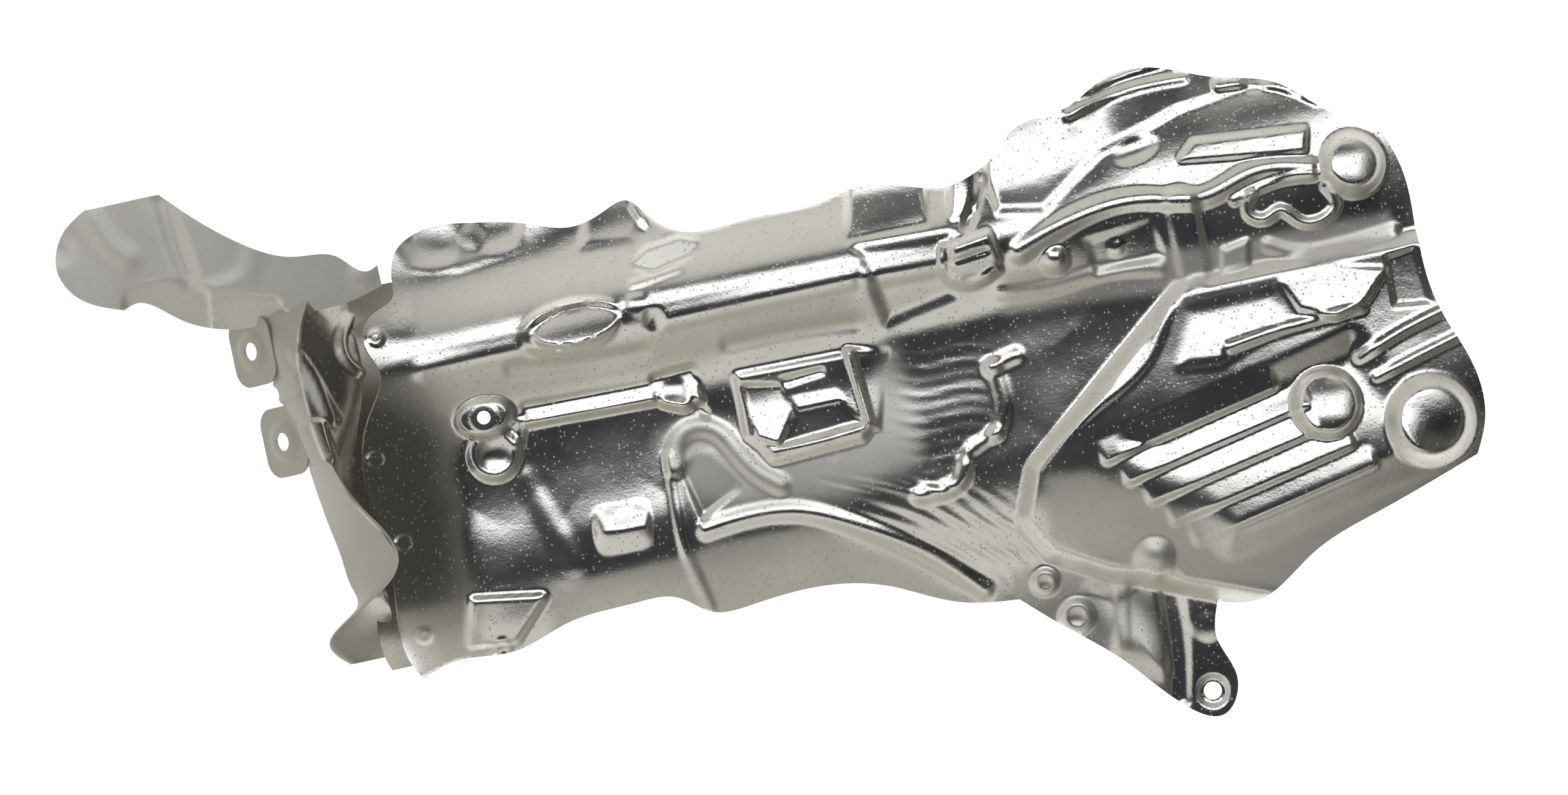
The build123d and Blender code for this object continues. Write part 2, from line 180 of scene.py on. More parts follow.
def turned(x: Array, y: Array, centre: Plan, degrees: float) -> tuple[Array, Array]:
    """Places along and across a direction through a centre."""
    angle = math.radians(degrees)
    off_x, off_y = x - centre[0], y - centre[1]
    along = off_x * math.cos(angle) + off_y * math.sin(angle)
    across = off_y * math.cos(angle) - off_x * math.sin(angle)
    return along, across


@dataclass(frozen=True)
class Relief:
    """A pressed form that lifts the plain face where it reaches."""

    def near(self, x: Array, y: Array) -> Array:
        """Mask of the plan points that the form can reach."""
        return np.ones_like(x, bool)

    def lift(self, x: Array, y: Array, face: Array) -> Array:
        """Rise over the plain face at plan points that the form can reach."""
        raise NotImplementedError

    def press(self, x: Array, y: Array, face: Array) -> Array:
        """Rise over the plain face at any plan points, worked out only where the form reaches.

        Args:
            x: plan places along the ridge.
            y: plan places across the ridge.
            face: height of the face under the form.

        Returns:
            Rise at each plan point.
        """
        rise = np.zeros_like(x)
        mask = self.near(x, y)
        if mask.any():
            rise[mask] = self.lift(x[mask], y[mask], face[mask])
        return rise


@dataclass(frozen=True)
class LineForm(Relief):
    """A form that follows a smooth line."""

    line: Line
    width: float
    rise: float

    def path(self) -> Array:
        """Close points of the line."""
        return smooth_line(self.line, LINE_PITCH) if len(self.line) > 2 else np.asarray(self.line, float)

    def near(self, x: Array, y: Array) -> Array:
        """Plan points within half a width of the line's box."""
        return boxed(x, y, self.path(), self.width / 2)


@dataclass(frozen=True)
class Bead(LineForm):
    """Rounded bead: level over its crown share, then eased down to its foot."""

    crown: float = 0.0

    def lift(self, x: Array, y: Array, face: Array) -> Array:
        """Eased step down from the crown to the foot on both sides of the line."""
        share = 2.0 * line_distance(x, y, self.path()) / self.width
        return self.rise * eased((1.0 - share) / (1.0 - self.crown))


@dataclass(frozen=True)
class Crease(LineForm):
    """Sharp fold: two flat flanks that meet in a tight round."""

    round: float = 1.2

    def lift(self, x: Array, y: Array, face: Array) -> Array:
        """Roof across the line, rounded at the crest and faded at the foot."""
        reach = self.width / 2
        gap = np.sqrt(line_distance(x, y, self.path()) ** 2 + self.round**2) - self.round
        return self.rise * eased(1.0 - gap / reach) * np.sqrt(np.clip(1.0 - gap / reach, 0.0, 1.0))


@dataclass(frozen=True)
class Panel(Relief):
    """Flat panel raised or sunk inside an outline, with an eased wall around it."""

    outline: Line
    rise: float
    wall: float
    corner: float = 0.0
    lean: Plan = ORIGIN
    pivot: Plan | None = None

    def ring(self) -> Array:
        """Outline as an array."""
        return np.asarray(self.outline, float)

    def near(self, x: Array, y: Array) -> Array:
        """Plan points within a wall and a corner of the outline's box."""
        return boxed(x, y, self.ring(), self.wall + self.corner)

    def lift(self, x: Array, y: Array, face: Array) -> Array:
        """Rise with a lean, under a mask that eases from the outline outwards."""
        ring = self.ring()
        gap = outline_distance(x, y, ring) - self.corner
        pivot = ring.mean(axis=0) if self.pivot is None else self.pivot
        slope = self.lean[0] * (x - pivot[0]) + self.lean[1] * (y - pivot[1])
        return (self.rise + slope) * eased(0.5 - gap / self.wall)


@dataclass(frozen=True)
class Dome(Relief):
    """Round cap: the rise falls from the middle as a power of (1 - t squared)."""

    centre: Plan
    radius: float
    rise: float
    power: float = 1.25
    stretch: float = 1.0
    turn: float = 0.0

    def share(self, x: Array, y: Array) -> Array:
        """Distance from the middle in radii, with the long axis stretched."""
        along, across = turned(x, y, self.centre, self.turn)
        return np.hypot(along / self.stretch, across) / self.radius

    def near(self, x: Array, y: Array) -> Array:
        """Plan points under the cap."""
        return self.share(x, y) < 1.0

    def lift(self, x: Array, y: Array, face: Array) -> Array:
        """Cap with a soft foot."""
        return self.rise * np.clip(1.0 - self.share(x, y) ** 2, 0.0, 1.0) ** self.power


@dataclass(frozen=True)
class Drum(Dome):
    """Flat-topped boss: an eased wall from its foot to its top radius, with a slight dish and lean."""

    top: float = 0.5
    dish: float = 0.0
    lean: float = 0.0

    def lift(self, x: Array, y: Array, face: Array) -> Array:
        """Wall eased over the band between the top and the foot, with the lean, less the dish."""
        share = self.share(x, y)
        bowl = self.dish * np.clip(1.0 - (share / self.top) ** 2, 0.0, 1.0)
        level = self.rise + self.lean * (y - self.centre[1])
        return level * eased((1.0 - share) / (1.0 - self.top)) - bowl


@dataclass(frozen=True)
class Landing(Drum):
    """Level pad: brings the face to a height inside its top radius and eases back at its foot."""

    level: float = 0.0

    def lift(self, x: Array, y: Array, face: Array) -> Array:
        """Share of the way from the face to the pad's level."""
        return (self.level - face) * eased((1.0 - self.share(x, y)) / (1.0 - self.top))


@dataclass(frozen=True)
class Roof(Relief):
    """Oblong roof: a gentle side up to a ridge line and a steep side down, with round ends."""

    centre: Plan
    half_length: float
    up_side: float
    down_side: float
    rise: float
    turn: float = 0.0
    crest_round: float = 0.006
    crest_lift: float = 0.0775
    side_fall: float = 0.6

    def shares(self, x: Array, y: Array) -> tuple[Array, Array]:
        """Distances along and across the ridge line in lengths of the roof's two sides."""
        along, across = turned(x, y, self.centre, self.turn)
        sides = np.where(across > 0, across / self.up_side, -across / self.down_side)
        return np.abs(along) / self.half_length, sides

    def near(self, x: Array, y: Array) -> Array:
        """Plan points under the roof."""
        along, across = self.shares(x, y)
        return (along < 1.0) & (across < 1.0)

    def lift(self, x: Array, y: Array, face: Array) -> Array:
        """Straight falls on both sides under ends that ease down as the fourth power."""
        along, across = self.shares(x, y)
        fall = 1.0 - np.sqrt(across**2 + self.crest_round) + self.crest_lift
        ends = 1.0 - along**4 - self.side_fall * across**4
        return self.rise * np.clip(fall, 0.0, 1.0) * np.clip(ends, 0.0, 1.0)


@dataclass(frozen=True, kw_only=True)
class Waves(Relief):
    """Shallow waves inside an outline, of uneven height and faded over a wall along the outline."""

    outline: Line
    height: float
    pitch: float
    wall: float
    even: float
    patch_pitch: float
    patch_skew: float

    def near(self, x: Array, y: Array) -> Array:
        """Plan points in the outline's box."""
        return boxed(x, y, np.asarray(self.outline, float), self.wall / 2)

    def faded(self, x: Array, y: Array, wave: Array, along: Array, across: Array) -> Array:
        """Waves by their even share and slanted patches, under a mask that eases over the outline."""
        patches = np.sin(along / self.patch_pitch + self.patch_skew * across)
        uneven = self.even + (1.0 - self.even) * patches
        gap = outline_distance(x, y, np.asarray(self.outline, float))
        return self.height * uneven * wave * eased(0.5 - gap / self.wall)


@dataclass(frozen=True, kw_only=True)
class Ripples(Waves):
    """Draw lines that follow a bead: waves by the distance from its line."""

    line: Line
    wall: float = 12.0
    even: float = 0.65
    patch_pitch: float = 9.0
    patch_skew: float = 0.4
    sway: Plan = (1.1, 0.7)
    sway_pitch: Plan = (13.0, 7.0)
    sway_start: float = 1.0

    def lift(self, x: Array, y: Array, face: Array) -> Array:
        """Sine of the distance, swayed along both axes."""
        phase = line_distance(x, y, smooth_line(self.line, LINE_PITCH))
        phase = phase + self.sway[0] * np.sin(x / self.sway_pitch[0])
        phase = phase + self.sway[1] * np.sin(y / self.sway_pitch[1] + self.sway_start)
        return self.faded(x, y, np.sin(TURN * phase / self.pitch), x, y)


@dataclass(frozen=True, kw_only=True)
class Wrinkles(Waves):
    """Draw wrinkles: waves across a direction, bent by a slow sway."""

    turn: float
    wall: float = 14.0
    even: float = 0.6
    patch_pitch: float = 8.0
    patch_skew: float = 0.9
    sway: float = 2.5
    sway_pitch: float = 55.0
    second_height: float = 0.5
    second_pitch: float = 1.73
    second_start: float = 0.8

    def lift(self, x: Array, y: Array, face: Array) -> Array:
        """Sum of two sines whose phase sways along the wrinkles."""
        along, across = turned(x, y, ORIGIN, self.turn)
        phase = TURN * (across + self.sway * np.sin(TURN * along / self.sway_pitch)) / self.pitch
        wave = np.sin(phase) + self.second_height * np.sin(phase / self.second_pitch + self.second_start)
        return self.faded(x, y, wave, along, across)


@dataclass(frozen=True)
class Waviness(Relief):
    """Slow unevenness of thin sheet: a few long waves in fixed directions."""

    height: float
    pitch: float
    stretches: tuple[float, ...] = (1.0, 0.73, 0.56, 1.31, 0.44)
    first_angle: float = 1.1
    angle_step: float = 2.4
    phase_step: float = 1.7

    def lift(self, x: Array, y: Array, face: Array) -> Array:
        """Mean of the sines, each with its own direction, pitch and phase."""
        total = np.zeros_like(x)
        for number, stretch in enumerate(self.stretches):
            angle = self.first_angle + self.angle_step * number
            run = x * math.cos(angle) + y * math.sin(angle)
            total += stretch * np.sin(TURN * run / (self.pitch * stretch) + self.phase_step * number)
        return self.height * total / len(self.stretches)


class Side(Enum):
    """Which way round the rim of a sheet is walked."""

    OUTER = 1
    HOLE = -1


@dataclass(frozen=True)
class Datum:
    """Where the drawing's own origin lies in the row frame, in millimetres."""

    shift: tuple[float, float, float]

    @classmethod
    def from_mounts(cls, mounts: list, ear: Plan, pad_level: float) -> "Datum":
        """Finds the datum from two fixing holes.

        Args:
            mounts: the record's mounts.
            ear: drawing place of the ear's hole.
            pad_level: drawing height of the pad's face.

        Returns:
            The datum whose shift brings the drawing onto the solids.
        """
        places = {mount["name"]: np.asarray(mount["pos_m"]) / MM for mount in mounts}
        ear_at, pad_at = places["ear_hole"], places["pad_hole"]
        return cls((ear_at[0] - ear[0], ear_at[1] - ear[1], pad_at[2] - pad_level + SHEET / 2))

    def place(self, points: Array) -> Array:
        """Drawing millimetres to metres in the row frame."""
        return (points + np.asarray(self.shift)) * MM


def walked(loop: Array, side: Side) -> Array:
    """A loop turned so that the sheet lies on its left."""
    after = np.roll(loop, -1, axis=0)
    area = (loop[:, 0] * after[:, 1] - after[:, 0] * loop[:, 1]).sum()
    return loop if area * side.value > 0 else loop[::-1]


def circle(centre: Plan, radius: float, steps: int) -> Array:
    """Points of a round hole."""
    angle = np.linspace(0.0, TURN, steps, endpoint=False)
    return np.stack([centre[0] + radius * np.cos(angle), centre[1] + radius * np.sin(angle)], axis=1)


def plan_mesh(loops: list[Array], pitch: float) -> tuple[Array, Array]:
    """Triangles over a plan area on a staggered grid that keeps to its rims.

    Args:
        loops: the outline first, then the holes, each with the sheet on its left.
        pitch: spacing of the staggered grid inside.

    Returns:
        Plan points, with the loops' points first, and triangles wound upwards.
    """
    rim = np.vstack(loops)
    outline = loops[0]
    low, high = outline.min(axis=0), outline.max(axis=0)
    rows = np.arange(low[1], high[1], pitch * math.sqrt(0.75))
    columns = np.arange(low[0], high[0], pitch)
    x = (columns[None, :] + 0.5 * pitch * (np.arange(len(rows)) % 2)[:, None]).ravel()
    y = np.repeat(rows, len(columns))
    keep = outline_distance(x, y, outline[::RIM_SKIP]) < -RIM_CLEAR * pitch
    x, y = x[keep], y[keep]
    for hole in loops[1:]:
        clear = outline_distance(x, y, hole) > HOLE_CLEAR * pitch
        x, y = x[clear], y[clear]
    points = np.vstack([rim, np.stack([x, y], axis=1)])
    edges = []
    first = 0
    for loop in loops:
        numbers = np.arange(len(loop))
        edges.append(np.stack([numbers, np.roll(numbers, -1)], axis=1) + first)
        first += len(loop)
    made = delaunay_2d_cdt(points.tolist(), np.vstack(edges).tolist(), [], INSIDE_FACES, MERGE_GAP)
    flat = np.asarray([tuple(spot) for spot in made[0]], float)
    triangles = np.asarray(made[2], int)
    middle = flat[triangles].mean(axis=1)
    inside = np.ones(len(triangles), bool)
    for hole in loops[1:]:
        inside &= outline_distance(middle[:, 0], middle[:, 1], hole) > 0.0
    triangles = triangles[inside]
    one, two, three = (flat[triangles[:, k]] for k in range(3))
    turn = (two[:, 0] - one[:, 0]) * (three[:, 1] - one[:, 1])
    turn -= (two[:, 1] - one[:, 1]) * (three[:, 0] - one[:, 0])
    triangles[turn < 0] = triangles[turn < 0][:, ::-1]
    return flat, triangles


@dataclass
class Skin:
    """Vertices in drawing millimetres, faces, and a share of drawing for each vertex."""

    points: Array
    triangles: Array
    drawn: Array

    @classmethod
    def joined(cls, skins: list["Skin"]) -> "Skin":
        """Several skins as one."""
        firsts = np.cumsum([0] + [len(skin.points) for skin in skins])
        return cls(
            np.vstack([skin.points for skin in skins]),
            np.vstack([skin.triangles + first for skin, first in zip(skins, firsts)]),
            np.concatenate([skin.drawn for skin in skins]),
        )


def wall_triangles(ring: Array, lower: int) -> Array:
    """Two triangles for each step of a closed ring, from the upper skin down to the lower one."""
    after = np.roll(ring, -1)
    near_side = np.stack([ring, ring + lower, after + lower], axis=1)
    far_side = np.stack([ring, after + lower, after], axis=1)
    return np.vstack([near_side, far_side])


def rim_triangles(loops: list[Array], lower: int) -> Array:
    """Walls along every loop of a plan mesh, whose points come first in both skins."""
    firsts = np.cumsum([0] + [len(loop) for loop in loops])
    rings = [np.arange(len(loop)) + first for loop, first in zip(loops, firsts)]
    return np.vstack([wall_triangles(ring, lower) for ring in rings])


def plate_skin(upper: Array, under: Array, faces: Array, loops: list[Array], drawn: float) -> Skin:
    """Closed plate between an upper and an under face on one plan mesh, with one share of drawing."""
    count = len(upper)
    triangles = np.vstack([faces, faces[:, ::-1] + count, rim_triangles(loops, count)])
    return Skin(np.vstack([upper, under]), triangles, np.full(2 * count, drawn))


def grid_normals(surface: Array) -> Array:
    """Unit normals of a grid: the cross product of its row step and its column step."""
    normal = np.cross(np.gradient(surface, axis=0), np.gradient(surface, axis=1))
    return normal / np.linalg.norm(normal, axis=2, keepdims=True)


def grid_skin(surface: Array, gauge: float) -> Skin:
    """Closed sheet over a grid: the grid, the same grid one gauge along its inner normals, and a rim.

    Its slope sets the share of drawing, and a slope that faces +X is polished too.

    Args:
        surface: grid of points, rows by columns by three, with its normals on the outer side.
        gauge: thickness.

    Returns:
        The closed skin.
    """
    rows, columns = surface.shape[:2]
    normal = grid_normals(surface)
    under = surface - gauge * normal
    number = np.arange(rows * columns).reshape(rows, columns)
    one, two = number[:-1, :-1].ravel(), number[1:, :-1].ravel()
    three, four = number[1:, 1:].ravel(), number[:-1, 1:].ravel()
    top = np.vstack([np.stack([one, two, three], axis=1), np.stack([one, three, four], axis=1)])
    ring = np.concatenate([number[:, 0], number[-1, 1:], number[-2::-1, -1], number[0, -2:0:-1]])
    lower = rows * columns
    points = np.vstack([surface.reshape(-1, 3), under.reshape(-1, 3)])
    faces = np.vstack([top, top[:, ::-1] + lower, wall_triangles(ring, lower)])
    slope = np.degrees(np.arccos(np.clip(np.abs(normal[..., 2]), 0.0, 1.0))).ravel()
    polish = eased_from(normal[..., 0].ravel(), *POLISH_FACING)
    drawn = eased_from(slope, *DRAWN_SLOPE) * (1.0 + polish)
    return Skin(points, faces, np.concatenate([drawn, drawn]))


@dataclass(frozen=True)
class NodeKit:
    """Short calls for the nodes of one node tree."""

    tree: bpy.types.NodeTree

    def node(self, kind: str, **settings: str) -> bpy.types.Node:
        """New shader node of a kind, with its settings."""
        made = self.tree.nodes.new(f"ShaderNode{kind}")
        for name, value in settings.items():
            setattr(made, name, value)
        return made

    def feed(self, slot: Socket, value: Value) -> None:
        """Links a socket to a slot, or sets a colour, a vector or a number on it."""
        if isinstance(value, Socket):
            self.tree.links.new(value, slot)
        elif isinstance(value, tuple):
            slot.default_value = (*value, 1.0)
        else:
            slot.default_value = value

    def combined(self, operation: str, one: Value, two: Value = 0.0) -> Socket:
        """Math node of two sockets or numbers."""
        node = self.node("Math", operation=operation)
        self.feed(node.inputs[0], one)
        self.feed(node.inputs[1], two)
        return node.outputs["Value"]

    def ranged(self, value: Socket, source: Plan, target: Plan) -> Socket:
        """Value carried from one range to another, held at both ends."""
        node = self.node("MapRange")
        self.feed(node.inputs["Value"], value)
        for name, number in zip(("From Min", "From Max", "To Min", "To Max"), (*source, *target)):
            self.feed(node.inputs[name], number)
        return node.outputs["Result"]

    def mixed(self, share: Value, one: Value, two: Value, blend: str = "MIX") -> Socket:
        """Two colours joined by a share and a blend."""
        node = self.node("Mix", data_type="RGBA", blend_type=blend)
        for name, value in (("Factor", share), ("A", one), ("B", two)):
            self.feed(node.inputs[name], value)
        return node.outputs["Result"]

    def noise(self, where: Socket, scale: float, detail: float) -> Socket:
        """Noise over a set of coordinates."""
        node = self.node("TexNoise")
        for name, value in (("Vector", where), ("Scale", scale), ("Detail", detail)):
            self.feed(node.inputs[name], value)
        return node.outputs["Fac"]


@dataclass(frozen=True)
class Specks:
    """Small round specks: cells in a metre, radius in cells, and the share of cells that hold one."""

    scale: float
    radius: float
    share: float
    core: float = 0.55
    blur: float = 0.02

    def cover(self, kit: NodeKit, where: Socket) -> Socket:
        """Cover by the specks of a random cell pattern, from 0 to 1."""
        cells = kit.node("TexVoronoi")
        kit.feed(cells.inputs["Scale"], self.scale)
        kit.feed(cells.inputs["Vector"], where)
        dot = kit.ranged(cells.outputs["Distance"], (self.core * self.radius, self.radius), (1.0, 0.0))
        tint = kit.node("SeparateColor")
        kit.feed(tint.inputs["Color"], cells.outputs["Color"])
        edge = (self.share - self.blur, self.share + self.blur)
        return kit.combined("MULTIPLY", dot, kit.ranged(tint.outputs["Red"], edge, (1.0, 0.0)))


@dataclass(frozen=True)
class SheetFinish:
    """Rolled aluminium sheet: how bright, how smooth, how grainy and how spotted it is.

    Each noise is a scale and a detail, and each band is the range of a noise that counts.
    """

    name: str
    tone: Colour
    drawn_tone: Colour
    roughness: float
    drawn_roughness: float
    spots: float
    soot: float
    metal: float = 1.0
    polished_metal: float = 1.0
    polished_roughness: float = 0.0
    polish: Plan = (1.0, 2.0)
    mottle_noise: Plan = (26.0, 4.0)
    mottle_tone_band: Plan = (0.35, 0.7)
    mottle_tone: float = 0.30
    mottle_rough_band: Plan = (0.3, 0.75)
    mottle_roughness: float = 0.10
    grain: float = 0.35
    grain_noise: Plan = (900.0, 3.0)
    dimple_noise: Plan = (210.0, 2.0)
    dimple_depth: float = 1.6
    bump_height: float = 0.0001
    spot_specks: Specks = Specks(520.0, 0.34, 0.30)
    spot_tone: Colour = (0.60, 0.585, 0.55)
    spot_roughness: float = 0.35
    spot_cover: float = 0.65
    soot_specks: Specks = Specks(560.0, 0.19, 0.10)
    soot_tone: Colour = (0.055, 0.045, 0.035)
    soot_roughness: float = 0.5
    soot_noise: Plan = (9.0, 3.0)
    soot_band: Plan = (0.46, 0.66)

    def material(self) -> bpy.types.Material:
        """Builds the node material.

        Fine grain and slow mottling move the roughness and a small bump, pale oxide spots and dark
        soot specks break the shine, and the drawn share of the surface is duller. Where the share goes
        on from one to two, the press has rubbed the drawn surface to a shine again.

        Returns:
            The material.
        """
        made = bpy.data.materials.new(self.name)
        made.use_nodes = True
        kit = NodeKit(made.node_tree)
        shader = made.node_tree.nodes["Principled BSDF"]
        where = kit.node("TexCoord").outputs["Object"]
        drawn = kit.node("Attribute", attribute_name="drawn").outputs["Fac"]

        mottle = kit.noise(where, *self.mottle_noise)
        spots = kit.combined("MULTIPLY", self.spot_specks.cover(kit, where), self.spots)
        sooty = kit.ranged(kit.noise(where, *self.soot_noise), self.soot_band, (0.0, self.soot))
        soot = kit.combined("MULTIPLY", self.soot_specks.cover(kit, where), sooty)

        tone = kit.mixed(drawn, self.tone, self.drawn_tone)
        dulled = kit.ranged(mottle, self.mottle_tone_band, (0.0, self.mottle_tone))
        tone = kit.mixed(dulled, tone, self.drawn_tone)
        tone = kit.mixed(spots, tone, self.spot_tone)
        kit.feed(shader.inputs["Base Color"], kit.mixed(soot, tone, self.soot_tone))

        rough = kit.ranged(mottle, self.mottle_rough_band, (0.0, self.mottle_roughness))
        rough = kit.combined("ADD", rough, self.roughness)
        amounts = (self.drawn_roughness, self.spot_roughness, self.soot_roughness)
        for share, amount in zip((drawn, spots, soot), amounts):
            rough = kit.combined("ADD", rough, kit.combined("MULTIPLY", share, amount))
        polished = kit.ranged(drawn, self.polish, (0.0, self.polished_roughness))
        kit.feed(shader.inputs["Roughness"], kit.combined("ADD", rough, polished))

        covered = kit.combined("MAXIMUM", kit.combined("MULTIPLY", spots, self.spot_cover), soot)
        metal = kit.ranged(drawn, self.polish, (self.metal, self.polished_metal))
        bare = kit.combined("SUBTRACT", 1.0, covered)
        kit.feed(shader.inputs["Metallic"], kit.combined("MULTIPLY", bare, metal))

        dimples = kit.combined("MULTIPLY", kit.noise(where, *self.dimple_noise), self.dimple_depth)
        height = kit.combined("ADD", kit.noise(where, *self.grain_noise), dimples)
        bump = kit.node("Bump")
        kit.feed(bump.inputs["Strength"], self.grain)
        kit.feed(bump.inputs["Distance"], self.bump_height)
        kit.feed(bump.inputs["Height"], kit.combined("SUBTRACT", height, spots))
        kit.feed(shader.inputs["Normal"], bump.outputs["Normal"])
        return made


BRIGHT = SheetFinish(
    name="bright_rolled_aluminium",
    tone=(0.90, 0.895, 0.88),
    drawn_tone=(0.82, 0.805, 0.76),
    roughness=0.13,
    drawn_roughness=0.27,
    spots=0.55,
    soot=0.8,
)
SATIN = SheetFinish(
    name="satin_rolled_aluminium",
    tone=(0.97, 0.96, 0.93),
    drawn_tone=(0.50, 0.485, 0.425),
    roughness=0.36,
    drawn_roughness=0.0,
    spots=0.35,
    soot=0.5,
    metal=0.3,
    polished_metal=0.9,
    polished_roughness=-0.18,
)


class Pressing:
    """A pressed sheet that stands in for one solid."""

    node: str
    slot: str
    finish: SheetFinish
    sharp_deg: float

    def skin(self) -> Skin:
        """Closed sheet in drawing millimetres."""
        raise NotImplementedError

    def build(self, datum: Datum) -> bpy.types.Object:
        """Makes the smooth-shaded piece with its finish and stands it in for its solid.

        Args:
            datum: where the drawing lies in the row frame.

        Returns:
            The finished piece, linked into the scene.
        """
        skin = self.skin()
        name = f"{self.node}_pressing"
        mesh = bpy.data.meshes.new(name)
        mesh.from_pydata(datum.place(skin.points).tolist(), [], skin.triangles.tolist())
        mesh.validate()
        drawn = mesh.attributes.new("drawn", "FLOAT", "POINT")
        drawn.data.foreach_set("value", skin.drawn.astype(np.float32))
        mesh.shade_smooth()
        mesh.set_sharp_from_angle(angle=math.radians(self.sharp_deg))
        mesh.materials.append(self.finish.material())
        piece = bpy.data.objects.new(name, mesh)
        bpy.context.scene.collection.objects.link(piece)
        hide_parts(self.node)
        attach(piece, BODY)
        return piece


@dataclass
class MainShield(Pressing):
    """The long embossed pressing: a face over stations and rows, with its pressed forms.

    The pairs drawn_tilt and drawn_from_seam are the start and the stretch of an eased range.
    """

    node: str = "main_shield"
    slot: str = "bright_sheet"
    finish: SheetFinish = BRIGHT
    sharp_deg: float = 60.0
    top_pitch: float = 1.4
    under_pitch: float = 2.6
    rim_pitch: float = 1.5
    ear_hole: Plan = (180.0, -189.0)
    ear_hole_r: float = 4.5
    pad_hole: Plan = (-142.5, 17.5)
    pad_hole_r: float = 3.3
    pad_level: float = 24.0
    pad_hole_steps: int = 28
    ear_hole_steps: int = 32
    slope_step: float = 0.5
    drawn_tilt: Plan = (27.0, 10.0)
    drawn_from_seam: Plan = (-178.0, 20.0)
    under_drawn: float = 0.5
    clinch: Drum = Drum(ORIGIN, 4.6, 1.2, top=0.62, dish=0.4)
    clinch_places: Line = ((-185.0, 66.0), (-197.0, 8.5), (-192.5, -34.0), (-193.5, -81.0))
    pan_rise: float = 7.0
    rib_rise: float = 0.8
    rib_width: float = 8.4
    rib_wall: float = 4.0
    rib_corner: float = 2.2
    rib_lean: float = 0.16
    rib_pitch: Plan = (9.0, -12.0)
    rib_start: Plan = (150.0, -61.0)
    rib_angle: float = 11.5
    rib_lengths: tuple[float, ...] = (88.0, 92.0, 84.0, 92.0, 92.0)
    rows: tuple[float, ...] = (140, 112, 88, 52, 20, -25, -80, -108, -150, -215)
    stations: dict[float, tuple[float, ...]] = field(default_factory=lambda: {
        -240.0: (30, 34, 42, 62, 70, 72, 40, 10, -10, -20),
        -200.0: (22, 26, 33, 44, 42, 41, 23, -3, -12, -20),
        -165.0: (6, 12, 19, 33, 22, 18, 13, 2, -10, -20),
        -110.0: (0, 6, 14, 31, 17, 14, 13, 3, -10, -20),
        -55.0: (-6, 0.5, 12, 32, 18, 15, 14, 4, -10, -20),
        20.0: (-6, 2, 12, 33, 19, 17, 14, 3, -10, -20),
        100.0: (-4, 2, 11, 31, 20, 19, 16, 7, 1, -2),
        180.0: (-6, 3, 13, 25, 22, 22, 20, 14, 6, 4),
        260.0: (-6, 2, 13, 22, 20, 20, 20, 14, 7, 2),
        350.0: (-12, -4, 4, 8, 9, 9, 7, 3, -2, -6),
    })
    edge_runs: tuple[Line, ...] = (
        (
            (-173, 94), (-169, 106), (-156, 114), (-130, 113), (-104, 107), (-86, 101), (-67, 104),
            (-53, 108), (-44, 98), (-27, 86), (5, 86), (37, 86), (60, 90), (84, 85), (103, 81), (124, 88),
        ),
        (
            (124, 88), (143, 103), (168, 107), (186, 116), (210, 119), (243, 107), (270, 99), (293, 79),
            (317, 64),
        ),
        ((317, 64), (323, 44), (323, 0), (327, -30), (335, -52), (337, -85), (330, -101)),
        ((330, -101), (274, -119), (240, -132), (208, -149), (191, -146)),
        (
            (191, -146), (187, -163), (193, -186), (184, -201), (160, -188), (140, -165), (112, -140),
            (96, -125),
        ),
        (
            (96, -125), (66, -120), (34, -105), (0, -98), (-34, -100), (-54, -99), (-68, -89), (-90, -87),
            (-125, -90), (-152, -98), (-183, -97), (-200, -102),
        ),
        (
            (-200, -102), (-203, -95), (-201, -55), (-203, -20), (-203, 5), (-199, 22), (-191, 36),
            (-186, 48), (-191, 64), (-186, 77), (-174, 84), (-173, 94),
        ),
    )

    def seam(self) -> Line:
        """The run of the outline along the clinched seam."""
        return self.edge_runs[-1]

    def plain_face(self, x: Array, y: Array) -> Array:
        """Height of the plain face: splines over the rows, carried by splines along the stations."""
        rows = np.asarray(self.rows[::-1], float)
        heights = np.asarray([values[::-1] for values in self.stations.values()], float)
        along = spline_weights(np.asarray(list(self.stations), float), x)
        across = spline_weights(rows, y)
        return np.einsum("ns,sr,nr->n", along, heights, across)

    def ribs(self) -> list[Relief]:
        """Parallel ribs on the pan, each a leaning strip that starts one pitch from the last."""
        angle = math.radians(self.rib_angle)
        along = np.asarray([math.cos(angle), math.sin(angle)])
        across = np.asarray([-along[1], along[0]])
        half = 0.5 * self.rib_width * across
        lean = (-self.rib_lean * float(across[0]), -self.rib_lean * float(across[1]))
        made: list[Relief] = []
        for number, length in enumerate(self.rib_lengths):
            first = np.asarray(self.rib_start) + number * np.asarray(self.rib_pitch)
            last = first + length * along
            corners = (first + half, last + half, last - half, first - half)
            strip = tuple((float(x), float(y)) for x, y in corners)
            made.append(Panel(strip, self.rib_rise, self.rib_wall, corner=self.rib_corner, lean=lean))
        return made

    def clinches(self) -> list[Relief]:
        """Clinch buttons along the seam."""
        return [replace(self.clinch, centre=place) for place in self.clinch_places]

    def sheet_forms(self) -> list[Relief]:
        """Unevenness of the whole sheet and the shoulder along the crest of the ridge."""
        return [
            Waviness(0.35, 118.0),
            Waviness(0.12, 37.0),
            Bead(((-166, 46), (-120, 46)), 15.0, 1.0),
            Bead(((-46, 45), (46, 46)), 15.0, 1.1),
            Bead(((56, 45), (94, 44)), 15.0, 1.1),
        ]

